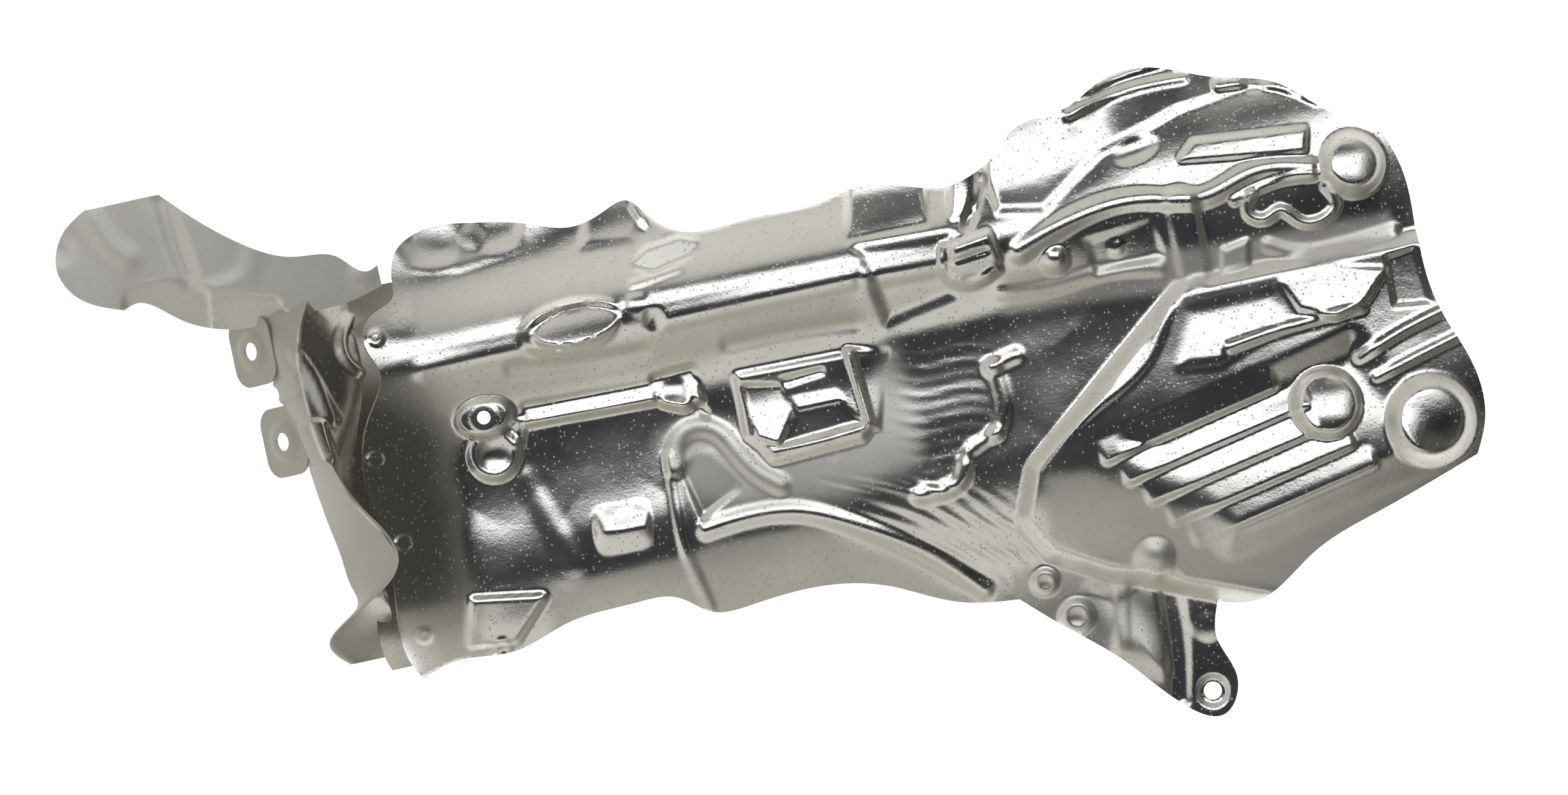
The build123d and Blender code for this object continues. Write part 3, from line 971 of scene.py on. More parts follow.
    def ridge_forms(self) -> list[Relief]:
        """Swell, notch, saddle and blob along the ridge, and the pockets on its far flank."""
        bowl = ((-164, 110), (-162, 98), (-140, 93), (-110, 97), (-106, 110), (-130, 122), (-156, 122))
        lozenge = ((-55, 75), (-47, 71), (-28, 75), (-24, 80), (-31, 83), (-48, 81))
        return [
            Landing((-91.0, 52.0), 14.0, 0.0, stretch=2.1, turn=1.0, top=0.74, level=31.8),
            Drum((-89.0, 52.0), 10.5, 0.8, stretch=2.3, turn=1.0, top=0.8, dish=-0.7, lean=-0.50),
            Dome((-51.0, 47.0), 7.0, -1.6, power=1.5),
            Dome((-58.0, 56.0), 7.0, 1.0, power=1.5),
            Panel(((53, 60), (98, 57), (95, 28), (60, 22)), -2.2, 9.0),
            Panel(bowl, -2.0, 9.0, corner=1.0, lean=(0.0, -0.19)),
            Dome((-150.0, 106.0), 14.0, -1.2, power=1.5),
            Dome((-131.0, 106.0), 8.0, 0.6, power=1.5),
            Dome((-118.0, 106.0), 13.0, -1.0, power=1.5),
            Panel(lozenge, 0.6, 3.0, corner=1.5, lean=(0.0, 0.52)),
            Bead(((-58, 66), (-34, 69)), 7.0, 1.0),
            Panel(
                ((-78, 90), (-72, 108), (-52, 112), (-46, 98), (-54, 88)),
                1.4, 8.0, corner=1.0, lean=(0.0, 0.02),
            ),
            Crease(((-48, 104), (-45, 96), (-38, 88)), 10.0, 1.4),
            Panel(
                ((50, 66), (56, 94), (92, 90), (88, 66)),
                1.0, 5.0, corner=1.0, lean=(0.0, 0.315), pivot=(70.0, 70.0),
            ),
            Panel(
                ((101, 64), (105, 88), (119, 92), (113, 66)),
                1.2, 5.0, corner=1.0, lean=(0.0, 0.42), pivot=(108.0, 66.0),
            ),
            Crease(((122, 92), (116, 76), (108, 60)), 8.0, -2.2),
            Panel(
                ((98, 50), (116, 53), (118, 41), (112, 35), (98, 37)),
                2.6, 5.0, corner=2.0, lean=(0.0, 0.1),
            ),
            Bead(((94, 52), (93, 38), (102, 32), (118, 36)), 6.5, 1.6, crown=0.3),
            Bead(((98, 44), (114, 46)), 5.0, -1.0),
            Crease(((-124, 37), (-95, 34), (-60, 33)), 11.0, -1.0),
            Crease(((-18, 27), (20, 27), (44, 25)), 12.0, -1.2),
            Crease(((118, 24), (140, 22), (165, 24), (195, 20)), 10.0, 1.1),
        ]

    def floor_forms(self) -> list[Relief]:
        """Pad, bulge, gutter bead, hump and window on the floor beside the clinched end."""
        window = ((-172, -90), (-166, -70), (-134, -75), (-151, -92))
        return [
            Panel(((-160, -24), (-128, -24), (-120, -64), (-156, -64)), 0.0, 30.0, lean=(0.0, -0.07)),
            Panel(((-116, 0), (-64, -2), (-64, -36), (-112, -36)), 0.0, 26.0, lean=(0.0, 0.06)),
            Crease(((-130, -16), (-121, -42), (-114, -62)), 16.0, 0.55),
            Panel(
                ((-122, 18), (-60, 15.5), (-60, 9), (-122, 11)),
                1.5, 5.0, corner=1.5, lean=(0.0, -0.60),
            ),
            Bead(((-118, 13), (-62, 10.5)), 4.0, -0.35),
            Drum((-142.0, -1.0), 15.5, 3.4, top=0.62, dish=1.9),
            Bead(((-129, 2), (-126, 11)), 9.0, 1.6, crown=0.2),
            Landing(self.pad_hole, 11.0, 0.0, stretch=1.45, top=0.72, level=self.pad_level),
            Drum(self.pad_hole, 8.4, 0.8, top=0.72),
            Roof((-87.5, -50.5), 15.0, 13.5, 11.5, 3.2, turn=-2.0),
            Dome((-86.0, -45.0), 5.0, -0.35, stretch=1.8),
            Panel(window, 2.8, 5.5, corner=2.0),
            Drum((-158.0, -95.0), 6.0, 1.0, top=0.5, dish=0.9),
            Panel(
                ((-57, 18), (-39, 19), (-38, 5), (-46, 3), (-55, 7)),
                2.0, 4.5, corner=2.0, lean=(0.0, -0.50),
            ),
            Dome((-49.0, 11.0), 7.0, -0.9),
            Crease(((-41, 4), (-36, -3)), 5.0, -1.2),
            Bead(((-59, -20), (-60, -45), (-60, -64), (-57, -82), (-54, -97)), 9.0, 1.2),
        ]

    def centre_forms(self) -> list[Relief]:
        """Boot, framed pocket, shelf and hook beads, and the draw lines between them."""
        shelf = (
            (-48, -59), (-36, -57.5), (-18, -57), (0, -60), (20, -69.5), (40, -82), (58, -96),
            (80, -117),
        )
        plateau = ((-17, 11), (38, 10), (41, -26), (36, -30), (-8, -32), (-12, -24), (-18, -18))
        return [
            Bead(
                ((-56, -26), (-53, -14), (-44, -9), (-34, -12), (-26, -23), (-18, -36), (-8, -45)),
                14.0, 1.7, crown=0.1,
            ),
            Panel(
                ((-53, -28), (-44, -22), (-38, -22), (-28, -42), (-48, -52)),
                -0.8, 4.0, corner=0.5, lean=(0.06, 0.08),
            ),
            Panel(plateau, 2.8, 6.0, corner=1.5),
            Panel(((38, 13), (57, 8), (45, -27), (41, -24)), 1.8, 3.5, corner=1.0, lean=(-0.22, 0.0)),
            Panel(((-16, 7), (3, 3), (5, -10), (-4, -26), (-14, -20)), 0.2, 3.0, lean=(0.02, -0.13)),
            Panel(((3, 6), (24, 7), (25, 4), (5, 2)), -1.2, 3.0),
            Panel(((6, -2), (29, -4), (31, -11), (8, -11)), 0.5, 3.0, lean=(0.0, -0.15)),
            Panel(((9, -12), (30, -12), (38, -23), (-5, -26)), -0.6, 2.5, lean=(0.0, 0.10)),
            Bead(((-8, -28), (16, -28), (40, -26)), 5.0, 0.9),
            Bead(shelf, 13.5, 1.9),
            Bead(((104, -10), (118, -7)), 12.0, 1.5),
            Bead(((106, -10), (105, -36), (101, -42)), 13.0, 1.5),
            Bead(((101, -42), (86, -48)), 11.0, 1.3),
            Bead(((83, -54), (80, -60), (58, -64)), 13.0, 2.0),
            Panel(((62, 6), (150, 0), (120, -44), (64, -52)), 0.0, 26.0, lean=(0.0, 0.06)),
            Wrinkles(
                outline=((62, 8), (92, 12), (104, 0), (100, -38), (84, -52), (60, -54), (56, -30)),
                height=0.10, pitch=6.6, turn=-13.0,
            ),
            Ripples(
                outline=((14, -48), (60, -56), (100, -75), (113, -104), (100, -114), (78, -108), (46, -84)),
                height=0.26, pitch=6.8, line=shelf,
            ),
        ]

    def crown_forms(self) -> list[Relief]:
        """Stepped crown with its stripes, and the run of the ridge below it."""
        crown = (
            (124, 64), (146, 60), (180, 82), (222, 95), (256, 99), (258, 125), (160, 135),
            (118, 110),
        )
        bright = ((118, 74), (150, 72), (182, 90), (184, 114), (140, 122), (110, 100))
        return [
            Panel(crown, 1.8, 7.0, lean=(-0.02, 0.05), pivot=(180.0, 80.0)),
            Panel(bright, 0.0, 30.0, lean=(-0.09, 0.25), pivot=(150.0, 74.0)),
            Bead(((172, 111), (196, 117), (218, 119)), 6.0, 1.2),
            Bead(((168, 103), (200, 110), (228, 110)), 8.0, 1.2),
            Bead(((244, 103), (268, 99), (290, 86)), 9.0, 1.6, crown=0.3),
            Dome((262.0, 101.0), 6.0, -1.4, stretch=1.4),
            Dome((282.0, 93.0), 5.0, -1.3),
            Dome((197.0, 79.0), 6.5, -1.6, stretch=2.0, turn=14.0),
            Panel(((217, 70), (225, 77), (280, 72), (277, 62)), 2.0, 4.0, corner=1.0),
            Bead(
                ((130, 42), (142, 47), (160, 53), (195, 55), (225, 50), (250, 57), (278, 53)),
                15.0, 2.4, crown=0.1,
            ),
            Dome((177.0, 34.0), 5.0, 1.0),
            Panel(((164, 40), (196, 44), (198, 27), (166, 25)), -1.4, 6.0, corner=1.0, lean=(0.0, 0.06)),
            Bead(((212, 50), (212, 16)), 22.0, 1.8, crown=0.3),
            Bead(
                ((247, 46), (243, 38), (251, 33), (259, 36), (267, 29), (279, 27), (287, 33), (283, 43)),
                7.0, 1.7, crown=0.2,
            ),
            Bead(((238, 45), (262, 50), (284, 48)), 7.0, 1.4, crown=0.3),
            Panel(((228, 22), (240, 24), (238, 13), (226, 12)), 1.6, 4.0, corner=1.0),
            Crease(((250, 20), (262, 14), (285, 12), (312, 14)), 10.0, 1.3),
            Drum((299.0, 51.0), 18.0, 7.6, top=0.58, dish=-0.9, lean=-0.18),
            Dome((146.5, 34.0), 8.0, 3.5),
        ]

    def pan_forms(self) -> list[Relief]:
        """Pan, its half-moon and box, the domes, the flat boss and the ribs."""
        pan = (
            (206, 2), (120, -68), (113, -86), (121, -101), (144, -114), (225, -147), (380, -147),
            (380, 2),
        )
        moon = ((253, 1), (278, 2), (302, -4), (291, -15), (275, -20), (259, -13))
        return [
            Panel(pan, self.pan_rise, 10.0, corner=7.5, lean=(0.0, -0.03), pivot=(200.0, -40.0)),
            Panel(
                ((206, -4), (246, -4), (250, -18), (214, -30), (196, -28)),
                0.5, 8.0, corner=1.0, lean=(0.0, -0.07),
            ),
            Bead(((196, 2), (180, -22), (150, -40), (114, -62)), 9.0, 1.0),
            Panel(moon, 1.7, 4.5, corner=1.5, lean=(0.0, -0.08)),
            Panel(((306, 2), (320, 4), (322, -23), (305, -21)), -1.3, 3.5, corner=0.5),
            Bead(((220, -24), (250, -21), (288, -19)), 9.0, 1.3),
            Bead(((282, -43), (300, -36), (330, -28)), 9.0, 1.4),
            Bead(((288, -54), (310, -48), (334, -42)), 8.0, 1.2),
            Panel(((166, -60), (280, -36), (306, -96), (202, -118)), 0.0, 22.0, lean=(0.02, -0.17)),
            *self.ribs(),
            Drum((261.0, -61.0), 18.5, 8.2, top=0.70, dish=-1.6, lean=-0.07),
            Drum((310.0, -80.0), 24.5, 8.6, top=0.60, dish=-0.4, lean=-0.085),
            Dome((164.0, -118.0), 11.0, 3.8),
        ]

    def ear_forms(self) -> list[Relief]:
        """Loops at the root of the ear, its trough and the seat of its hole."""
        return [
            Drum((110.0, -119.0), 8.0, 2.8, top=0.5, dish=0.9),
            Drum((122.0, -139.0), 10.5, 3.2, top=0.5, dish=1.2),
            Bead(((169, -132), (168, -160), (163, -188)), 17.0, -2.0, crown=0.2),
            Crease(((147, -128), (143, -146), (140, -160)), 12.0, 1.3),
            Dome((184.0, -157.0), 9.0, 1.2),
            Panel(((132, -130), (158, -126), (157, -172), (138, -158)), 0.0, 18.0, lean=(0.0, -0.22)),
            Drum(self.ear_hole, 8.8, -2.2, top=0.66),
        ]

    def relief(self) -> list[Relief]:
        """Every pressed form of the sheet, area by area."""
        return [
            *self.sheet_forms(), *self.pan_forms(), *self.crown_forms(), *self.ridge_forms(),
            *self.centre_forms(), *self.floor_forms(), *self.ear_forms(), *self.clinches(),
        ]

    def dull_patches(self) -> list[Panel]:
        """Areas where the press left the sheet dull: hem, bare corner of the pan and flank bands."""
        hem = (
            (-126, -72), (-62, -70), (-46, -67), (0, -68), (40, -91), (74, -122), (0, -112),
            (-60, -112), (-135, -100),
        )
        bare = (
            (122, -70), (140, -72), (186, -104), (215, -118), (300, -108), (230, -146), (150, -120),
            (118, -98),
        )
        middle = (
            (-58, -10), (-40, -4), (-20, -22), (-8, -37), (40, -34), (50, -8), (60, 8), (60, -46),
            (20, -56), (-48, -46),
        )
        root = ((98, -112), (150, -116), (160, -128), (158, -185), (130, -165), (96, -130))
        return [
            Panel(hem, 1.0, 9.0),
            Panel(bare, 1.0, 10.0, corner=2.0),
            Panel(middle, 1.0, 18.0, corner=2.0),
            Panel(root, 0.6, 8.0, corner=1.0),
            Panel(((-205, -66), (-172, -68), (-164, -104), (-198, -106)), 1.0, 8.0),
            Panel(((118, 14), (200, 8), (312, 8), (312, 24), (230, 26), (120, 34)), 0.9, 9.0),
            Panel(((-165, 64), (45, 64), (45, 86), (-165, 86)), 0.7, 10.0),
            Panel(((-165, 24), (45, 24), (45, 40), (-165, 40)), 0.7, 8.0),
        ]

    def height(self, x: Array, y: Array) -> Array:
        """Height of the pressed face: the plain face with every form added in turn."""
        level = self.plain_face(x, y)
        for form in self.relief():
            level = level + form.press(x, y, level)
        return level

    def loops(self) -> list[Array]:
        """Outline and holes as closed loops with the sheet on the left."""
        runs = [smooth_line(run, self.rim_pitch)[:-1] for run in self.edge_runs]
        outline = walked(np.vstack(runs), Side.OUTER)
        holes = [
            circle(self.pad_hole, self.pad_hole_r, self.pad_hole_steps),
            circle(self.ear_hole, self.ear_hole_r, self.ear_hole_steps),
        ]
        return [outline, *(walked(hole, Side.HOLE) for hole in holes)]

    def skin(self) -> Skin:
        """Closed sheet: the pressed face, the same face one gauge lower on a wider grid, and the rims."""
        loops = self.loops()
        upper, upper_faces = plan_mesh(loops, self.top_pitch)
        lower, lower_faces = plan_mesh(loops, self.under_pitch)
        x, y = upper.T
        top_z = self.height(x, y)
        under_z = self.height(*lower.T) - SHEET
        points = np.vstack([np.column_stack([upper, top_z]), np.column_stack([lower, under_z])])
        walls = rim_triangles(loops, len(upper))
        faces = np.vstack([upper_faces, lower_faces[:, ::-1] + len(upper), walls])
        step = self.slope_step
        slope_x = self.height(x + step, y) - self.height(x - step, y)
        slope_y = self.height(x, y + step) - self.height(x, y - step)
        tilt = np.degrees(np.arctan(np.hypot(slope_x, slope_y) / (2 * step)))
        drawn = eased_from(tilt, *self.drawn_tilt) * eased_from(x, *self.drawn_from_seam)
        for patch in self.dull_patches():
            drawn = np.maximum(drawn, patch.press(x, y, top_z))
        return Skin(points, faces, np.concatenate([drawn, np.full(len(lower), self.under_drawn)]))


@dataclass
class EndShield(Pressing):
    """The end pressing: a flange under the seam, a collar, two fixing tabs and a wing.

    The pair flange_spread_y is the start and the stretch of an eased range. Each row of the collar is
    its foot, the bow of its wall, its crest and its free edge, by Y.
    """

    main: MainShield
    node: str = "end_shield"
    slot: str = "satin_sheet"
    finish: SheetFinish = SATIN
    sharp_deg: float = 40.0
    pitch: float = 1.8
    flange_lip: float = 10.0
    flange_lap: float = 13.0
    flange_spread: float = 14.0
    flange_spread_y: Plan = (58.0, 26.0)
    flange_pitch: float = 2.0
    flange_steps: int = 18
    flange_ends: Plan = (93.0, -96.0)
    foot_sink: float = 1.5
    flank_bow: float = 2.5
    collar_rows: int = 150
    wall_steps: int = 26
    flank_steps: int = 16
    tab_tilt: float = -43.0
    tab_length: float = 30.0
    tab_height: float = 34.0
    tab_corner: float = 9.0
    tab_hole_r: float = 4.5
    tab_hole_steps: int = 28
    tab_arc_steps: int = 9
    tab_ring: Drum = Drum(ORIGIN, 10.5, 1.0, top=0.7)
    tab_drawn: float = 1.0
    tab_level: float = 41.0
    tabs: tuple[Plan, ...] = ((-244.5, 72.0), (-238.5, 26.0))
    wing_lip_y: float = 108.0
    wing_reach_y: float = 170.0
    wing_root_y: float = 80.0
    wing_top_drop: float = 5.0
    wing_lip_drop: float = 6.0
    wing_drawn: float = 0.15
    wing_levels: dict[float, float] = field(default_factory=lambda: {
        -335.0: 49.0, -262.0: 57.0, -215.0: 57.0, -170.0: 50.0,
    })
    wing_runs: tuple[Line, ...] = (
        (
            (-176, 100), (-181, 98), (-187, 101), (-194, 108), (-214, 112), (-234, 121), (-254, 137),
            (-272, 155),
        ),
        ((-272, 155), (-309, 155)),
        ((-309, 155), (-320, 148), (-326, 140), (-328, 130), (-322, 116), (-300, 104)),
        ((-300, 104), (-294, 106), (-276, 95), (-258, 86), (-240, 83), (-225, 84), (-190, 86), (-176, 90)),
        ((-176, 90), (-176, 100)),
    )
    collar: dict[float, tuple[float, ...]] = field(default_factory=lambda: {
        94.0: (-195.0, -199.0, 9.0, -210.0, 49.5, -238.0, 44.0),
        76.0: (-195.0, -199.0, 12.0, -218.0, 60.0, -237.5, 45.5),
        52.0: (-194.0, -200.0, 13.0, -221.5, 63.0, -236.0, 44.0),
        28.0: (-200.0, -206.0, 13.0, -220.0, 64.5, -231.0, 46.0),
        5.0: (-207.0, -211.0, 14.0, -214.0, 66.0, -229.0, 39.0),
        -16.0: (-207.0, -208.5, 13.0, -204.5, 66.0, -226.5, 36.0),
        -38.0: (-206.0, -199.0, 5.0, -193.5, 65.0, -223.5, 34.0),
        -50.0: (-205.0, -202.5, 6.0, -200.0, 57.0, -222.0, 34.0),
        -61.0: (-205.0, -208.5, 8.0, -217.5, 46.0, -221.5, 40.0),
        -72.0: (-205.0, -214.0, 5.0, -234.0, 37.0, -236.5, 34.0),
        -87.0: (-206.0, -214.0, 3.0, -229.0, 24.0, -231.0, 20.5),
    })

    def collar_surface(self) -> Array:
        """Collar as a grid: each row is a bent wall from the foot to the crest and a flank down from it.

        Both stretches are quadratic Bezier curves, and their points follow splines along Y.

        Returns:
            Grid of points, rows along falling Y and columns from the foot to the free edge.
        """
        keys = np.asarray(sorted(self.collar), float)
        values = np.asarray([self.collar[key] for key in keys], float)
        y = np.linspace(keys[-1], keys[0], self.collar_rows)
        foot_x, bow_x, bow_rise, crest_x, crest_z, edge_x, edge_z = (spline_weights(keys, y) @ values).T
        foot_z = self.main.plain_face(foot_x, y) - self.foot_sink
        run = np.hypot(edge_x - crest_x, edge_z - crest_z)
        flank_x = (crest_x + edge_x) / 2 + self.flank_bow * (edge_z - crest_z) / run
        flank_z = (crest_z + edge_z) / 2 - self.flank_bow * (edge_x - crest_x) / run
        up = np.linspace(0.0, 1.0, self.wall_steps)[None, :]
        down = np.linspace(0.0, 1.0, self.flank_steps)[None, 1:]

        def bent(one: Array, two: Array, three: Array, share: Array) -> Array:
            """Quadratic Bezier curve through rows of three values."""
            before, after = one[:, None] * (1 - share) ** 2, three[:, None] * share**2
            return before + two[:, None] * 2 * share * (1 - share) + after

        x = np.hstack([bent(foot_x, bow_x, crest_x, up), bent(crest_x, flank_x, edge_x, down)])
        z = np.hstack([bent(foot_z, foot_z + bow_rise, crest_z, up), bent(crest_z, flank_z, edge_z, down)])
        return np.stack([x, np.repeat(y[:, None], x.shape[1], axis=1), z], axis=2)

    def collar_forms(self) -> list[Relief]:
        """Bead at the foot, folds on the wall, box and corrugations on the flank, by plan place."""
        return [
            Bead(((-195, 79), (-200.6, 69), (-200, 57.5), (-195, 51)), 7.0, 2.4),
            Crease(((-222, 66), (-217, 55), (-214, 42), (-212, 32)), 9.0, 1.6),
            Panel(((-227, 32), (-217, 31), (-216, 13), (-224, 12)), 2.6, 4.0, corner=1.5),
            Bead(((-240, 54), (-224, 54)), 6.0, 1.3),
            Bead(((-240, 46), (-224, 46)), 6.0, 1.3),
            Waviness(0.5, 46.0),
        ]

    def collar_skin(self) -> Skin:
        """Collar with its forms raised along its normals, its outer side towards the sky."""
        surface = self.collar_surface()[:, ::-1]
        x, y = surface[..., 0].ravel(), surface[..., 1].ravel()
        rise = sum(form.press(x, y, np.zeros_like(x)) for form in self.collar_forms())
        rise = rise.reshape(surface.shape[:2])[..., None]
        return grid_skin(surface + grid_normals(surface) * rise, SHEET)

    def flange_skin(self) -> Skin:
        """Flange: the main face lowered by a gauge and a hair, over a strip along the seam."""
        low, high = sorted(self.flange_ends)
        seam = smooth_line(self.main.seam(), self.flange_pitch)
        seam = seam[(seam[:, 1] > low) & (seam[:, 1] < high)]
        share = np.linspace(0.0, 1.0, self.flange_steps)[None, :]
        lip = self.flange_lip + self.flange_spread * eased_from(seam[:, 1], *self.flange_spread_y)
        x = seam[:, 0][:, None] - lip[:, None] * (1 - share) + self.flange_lap * share
        y = np.repeat(seam[:, 1][:, None], share.shape[1], axis=1)
        level = self.main.height(x.ravel(), y.ravel()).reshape(x.shape) - SHEET - LAP_GAP
        return grid_skin(np.stack([x, y, level], axis=2)[:, ::-1], SHEET)

    def tab_skin(self, centre: Plan) -> Skin:
        """Tab: a rounded plate with its hole and a low ring about it, leaning outwards.

        Args:
            centre: plan place of the hole.

        Returns:
            The closed plate.
        """
        corner = self.tab_corner
        reach_x, reach_y = self.tab_length / 2 - corner, self.tab_height / 2 - corner
        quarter = np.linspace(0.0, math.pi / 2, self.tab_arc_steps)
        arcs = []
        for turn, (side_x, side_y) in enumerate(((1, 1), (-1, 1), (-1, -1), (1, -1))):
            angle = quarter + turn * math.pi / 2
            arcs.append(np.stack([
                side_x * reach_x + corner * np.cos(angle), side_y * reach_y + corner * np.sin(angle),
            ], axis=1))
        loops = [
            walked(np.vstack(arcs), Side.OUTER),
            walked(circle(ORIGIN, self.tab_hole_r, self.tab_hole_steps), Side.HOLE),
        ]
        flat, faces = plan_mesh(loops, self.pitch)
        lift = self.tab_ring.press(flat[:, 0], flat[:, 1], np.zeros(len(flat)))
        tilt = math.radians(self.tab_tilt)
        along, across = np.asarray([math.cos(tilt), 0.0, -math.sin(tilt)]), np.asarray([0.0, 1.0, 0.0])
        out = np.asarray([math.sin(tilt), 0.0, math.cos(tilt)])
        origin = np.asarray([centre[0], centre[1], self.tab_level])
        upper = origin + flat[:, :1] * along + flat[:, 1:] * across + lift[:, None] * out
        return plate_skin(upper, upper - SHEET * out, faces, loops, self.tab_drawn)

    def wing_height(self, x: Array, y: Array) -> Array:
        """Height of the wing: a level along X less a bend across Y, with its creases.

        The bend is the quadratic Bezier curve from the far edge over the lip to the root, with its
        share worked out from Y.
        """
        keys = np.asarray(sorted(self.wing_levels), float)
        level = spline_weights(keys, x) @ np.asarray([self.wing_levels[key] for key in keys])
        far, lip, root = self.wing_reach_y, self.wing_lip_y, self.wing_root_y
        square, slope = far - 2 * lip + root, 2 * (lip - far)
        share = (-slope - np.sqrt(slope**2 - 4 * square * (far - y))) / (2 * square)
        height = level - self.wing_top_drop * (1 - share) ** 2 - self.wing_lip_drop * share**2
        for form in self.wing_forms():
            height = height + form.press(x, y, height)
        return height

    def wing_forms(self) -> list[Relief]:
        """Creases, folded lip and dents of the wing."""
        lip = ((-302, 100), (-297, 113), (-285, 115), (-268, 112), (-258, 104), (-262, 80), (-300, 90))
        root = ((-258, 104), (-246, 100), (-226, 94), (-222, 78), (-262, 78))
        return [
            Waviness(0.8, 70.0),
            Crease(((-270, 152), (-269, 137), (-266, 114)), 18.0, -3.0, round=0.6),
            Panel(lip, 0.0, 2.5, lean=(0.0, 0.44), pivot=(-278.0, 113.0)),
            Panel(root, 0.0, 2.5, lean=(0.10, 0.34), pivot=(-250.0, 106.0)),
            Crease(((-306, 150), (-301, 138), (-293, 128)), 20.0, 1.6, round=0.8),
            Crease(((-232, 120), (-238, 108), (-256, 104)), 16.0, 1.2),
            Dome((-324.0, 139.0), 9.0, -1.6),
            Dome((-184.0, 96.0), 8.0, 1.5),
        ]

    def wing_skin(self) -> Skin:
        """Wing: a creased plate over its outline."""
        runs = [smooth_line(run, self.pitch)[:-1] for run in self.wing_runs]
        loops = [walked(np.vstack(runs), Side.OUTER)]
        flat, faces = plan_mesh(loops, self.pitch)
        level = self.wing_height(flat[:, 0], flat[:, 1])
        upper, under = np.column_stack([flat, level]), np.column_stack([flat, level - SHEET])
        return plate_skin(upper, under, faces, loops, self.wing_drawn)

    def skin(self) -> Skin:
        """Flange, collar, wing and tabs as one sheet."""
        skins = [self.flange_skin(), self.collar_skin(), self.wing_skin()]
        return Skin.joined(skins + [self.tab_skin(centre) for centre in self.tabs])


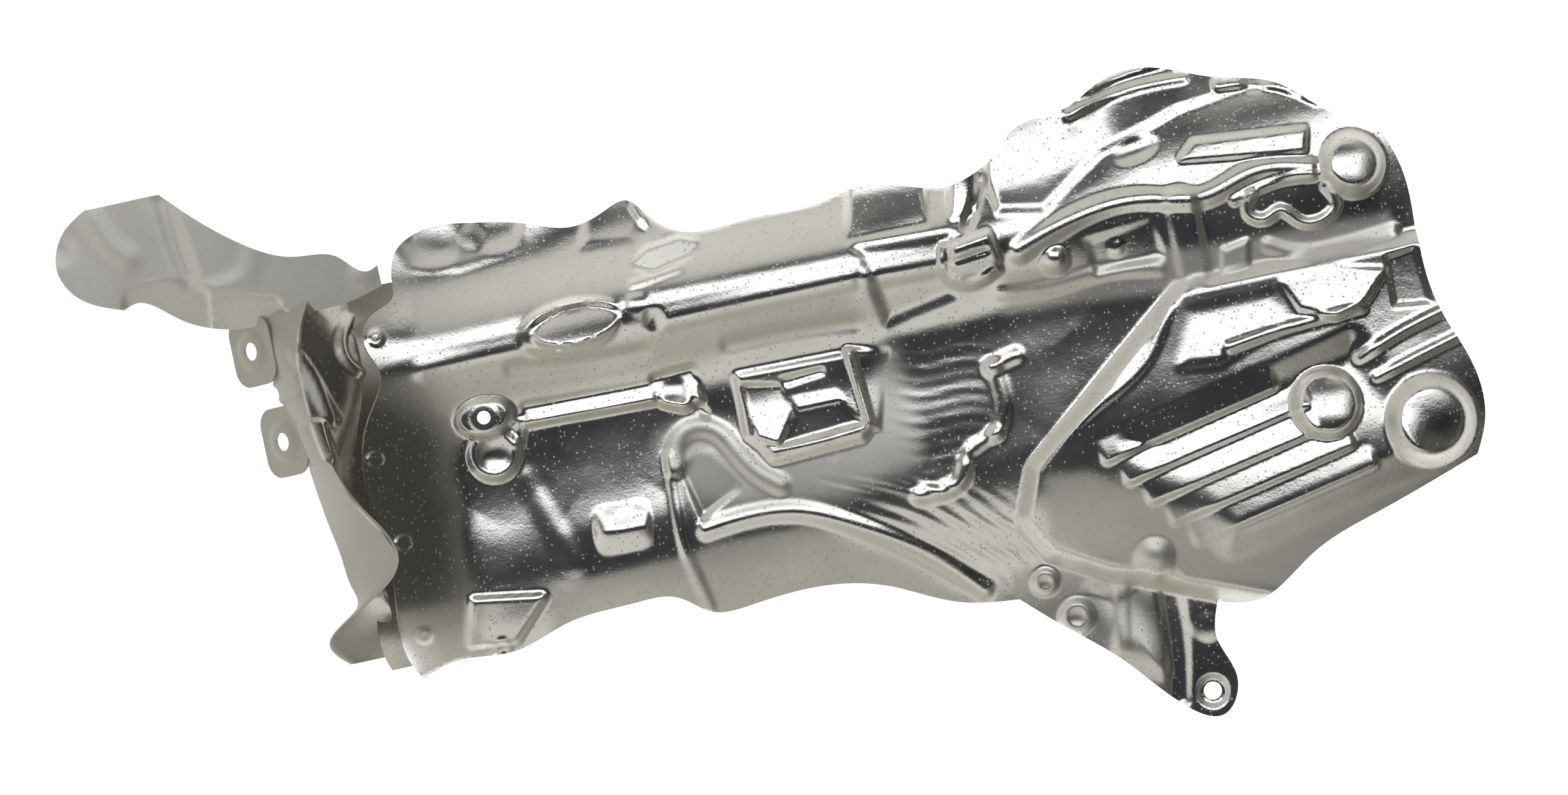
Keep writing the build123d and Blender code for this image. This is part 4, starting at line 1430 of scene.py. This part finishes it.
@dataclass
class Studio:
    """Pale floor, a room light with one bright strip panel, and the camera straight above the shield.

    Each ramp gives colours by the angle in degrees from its axis.
    """

    view_centre: Plan = (2.96, -3.39)
    view_width: float = 768.0
    view_turn: float = -12.0
    view_level: float = 20.0
    view_height: float = 2100.0
    sensor: float = 36.0
    floor_reach: float = 6.0
    floor_tone: float = 0.88
    floor_roughness: float = 0.9
    floor_glow: float = 0.76
    panel_lean: float = 25.5
    panel_reach: float = 11.5
    panel_fade: float = 4.5
    panel_span: float = 24.0
    panel_glow: float = 1.35
    room_lean: float = 15.0
    room_ramp: Ramp = (
        (0.0, (0.030, 0.031, 0.035)),
        (36.0, (0.030, 0.031, 0.035)),
        (45.0, (0.60, 0.59, 0.545)),
        (62.0, (0.68, 0.67, 0.63)),
        (80.0, (0.78, 0.77, 0.72)),
        (104.0, (0.50, 0.48, 0.43)),
    )
    right_ramp: Ramp = (
        (0.0, (0.05, 0.048, 0.043)),
        (36.0, (0.07, 0.068, 0.062)),
        (58.0, (0.28, 0.275, 0.26)),
        (78.0, WHITE),
        (150.0, WHITE),
        (172.0, (0.45, 0.44, 0.42)),
    )
    ahead_ramp: Ramp = ((0.0, WHITE), (126.0, WHITE), (152.0, (0.58, 0.57, 0.52)))

    def floor(self) -> bpy.types.Object:
        """Wide plane under the shield: pale, with a glow for rays that show the background."""
        reach = self.floor_reach
        corners = [(-reach, -reach, 0.0), (reach, -reach, 0.0), (reach, reach, 0.0), (-reach, reach, 0.0)]
        mesh = bpy.data.meshes.new("floor")
        mesh.from_pydata(corners, [], [(0, 1, 2, 3)])
        made = bpy.data.materials.new("pale_floor")
        made.use_nodes = True
        kit = NodeKit(made.node_tree)
        path = kit.node("LightPath").outputs
        seen = kit.combined("MAXIMUM", path["Is Camera Ray"], path["Is Glossy Ray"])
        seen = kit.combined("MAXIMUM", seen, path["Is Transmission Ray"])
        settings = {
            "Base Color": (self.floor_tone,) * 3,
            "Roughness": self.floor_roughness,
            "Specular IOR Level": 0.0,
            "Emission Color": WHITE,
            "Emission Strength": kit.combined("MULTIPLY", seen, self.floor_glow),
        }
        for name, value in settings.items():
            kit.feed(made.node_tree.nodes["Principled BSDF"].inputs[name], value)
        mesh.materials.append(made)
        floor = bpy.data.objects.new("floor", mesh)
        bpy.context.scene.collection.objects.link(floor)
        return floor

    def sky(self) -> None:
        """World light by direction: a dark zone overhead, a pale room round it and the strip panel."""
        world = bpy.data.worlds.new("studio_sky")
        bpy.context.scene.world = world
        world.use_nodes = True
        kit = NodeKit(world.node_tree)
        where = kit.node("TexCoord").outputs["Generated"]

        def ramped(axis: Vector, stops: Ramp) -> Socket:
            """Colour by the angle in degrees between a direction and an axis."""
            dot = kit.node("VectorMath", operation="DOT_PRODUCT")
            kit.feed(dot.inputs[0], where)
            kit.feed(dot.inputs[1], axis)
            angle = kit.combined("ARCCOSINE", dot.outputs["Value"])
            ramp = kit.node("ValToRGB")
            kit.feed(ramp.inputs["Fac"], kit.combined("DIVIDE", angle, math.pi))
            band = ramp.color_ramp.elements
            while len(band) < len(stops):
                band.new(0.5)
            for element, (degrees, colour) in zip(band, stops):
                element.position = degrees / HALF_DEG
                element.color = (*colour, 1.0)
            return ramp.outputs["Color"]

        turn, lean = math.radians(self.view_turn), math.radians(self.room_lean)
        right = Vector((math.cos(turn), math.sin(turn), 0.0))
        ahead = Vector((-math.sin(turn), math.cos(turn), 0.0))
        up = Vector((-math.sin(turn) * math.sin(lean), math.cos(turn) * math.sin(lean), math.cos(lean)))
        room = ramped(up, self.room_ramp)
        for axis, stops in ((right, self.right_ramp), (ahead, self.ahead_ramp)):
            room = kit.mixed(1.0, room, ramped(axis, stops), "MULTIPLY")

        glow = (self.panel_glow,) * 3
        middle = QUARTER_DEG - self.panel_lean
        near, far = middle - self.panel_reach, middle + self.panel_reach
        strip = ramped(ahead, (
            (near - self.panel_fade, BLACK), (near, glow), (far, glow), (far + self.panel_fade, BLACK),
        ))
        span, end = self.panel_span, self.panel_span + 2 * self.panel_fade
        ends = ramped(right, (
            (QUARTER_DEG - end, BLACK), (QUARTER_DEG - span, WHITE),
            (QUARTER_DEG + span, WHITE), (QUARTER_DEG + end, BLACK),
        ))
        panel = kit.mixed(1.0, strip, ends, "MULTIPLY")
        background = world.node_tree.nodes["Background"]
        kit.feed(background.inputs["Color"], kit.mixed(1.0, room, panel, "LIGHTEN"))

    def camera(self, datum: Datum) -> None:
        """Camera straight above the middle of the photograph, turned with it."""
        data = bpy.data.cameras.new("camera")
        data.sensor_width = self.sensor
        data.lens = self.sensor * (self.view_height - self.view_level) / self.view_width
        camera = bpy.data.objects.new("camera", data)
        centre = datum.place(np.asarray([*self.view_centre, 0.0]))
        camera.location = Vector((centre[0], centre[1], self.view_height * MM))
        camera.rotation_euler = (0.0, 0.0, math.radians(self.view_turn))
        bpy.context.scene.collection.objects.link(camera)
        bpy.context.scene.camera = camera

    def build(self, datum: Datum) -> None:
        """Sets the floor, the sky, the camera and the plain view transform."""
        self.floor()
        self.sky()
        self.camera(datum)
        bpy.context.scene.view_settings.view_transform = "Standard"


def write_sizes() -> None:
    """Brings the view layer up to date."""
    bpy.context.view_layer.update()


def main() -> None:
    """Builds both pressings and the studio, and reports each piece."""
    logging.basicConfig(level=logging.INFO)
    main_shield = MainShield()
    datum = Datum.from_mounts(frame["record"]["mounts"], main_shield.ear_hole, main_shield.pad_level)
    for assembly in (main_shield, EndShield(main_shield)):
        piece = assembly.build(datum)
        log.info("%s: %d faces", piece.name, len(piece.data.polygons))
    Studio().build(datum)
    write_sizes()


if __name__ == "__main__":
    main()
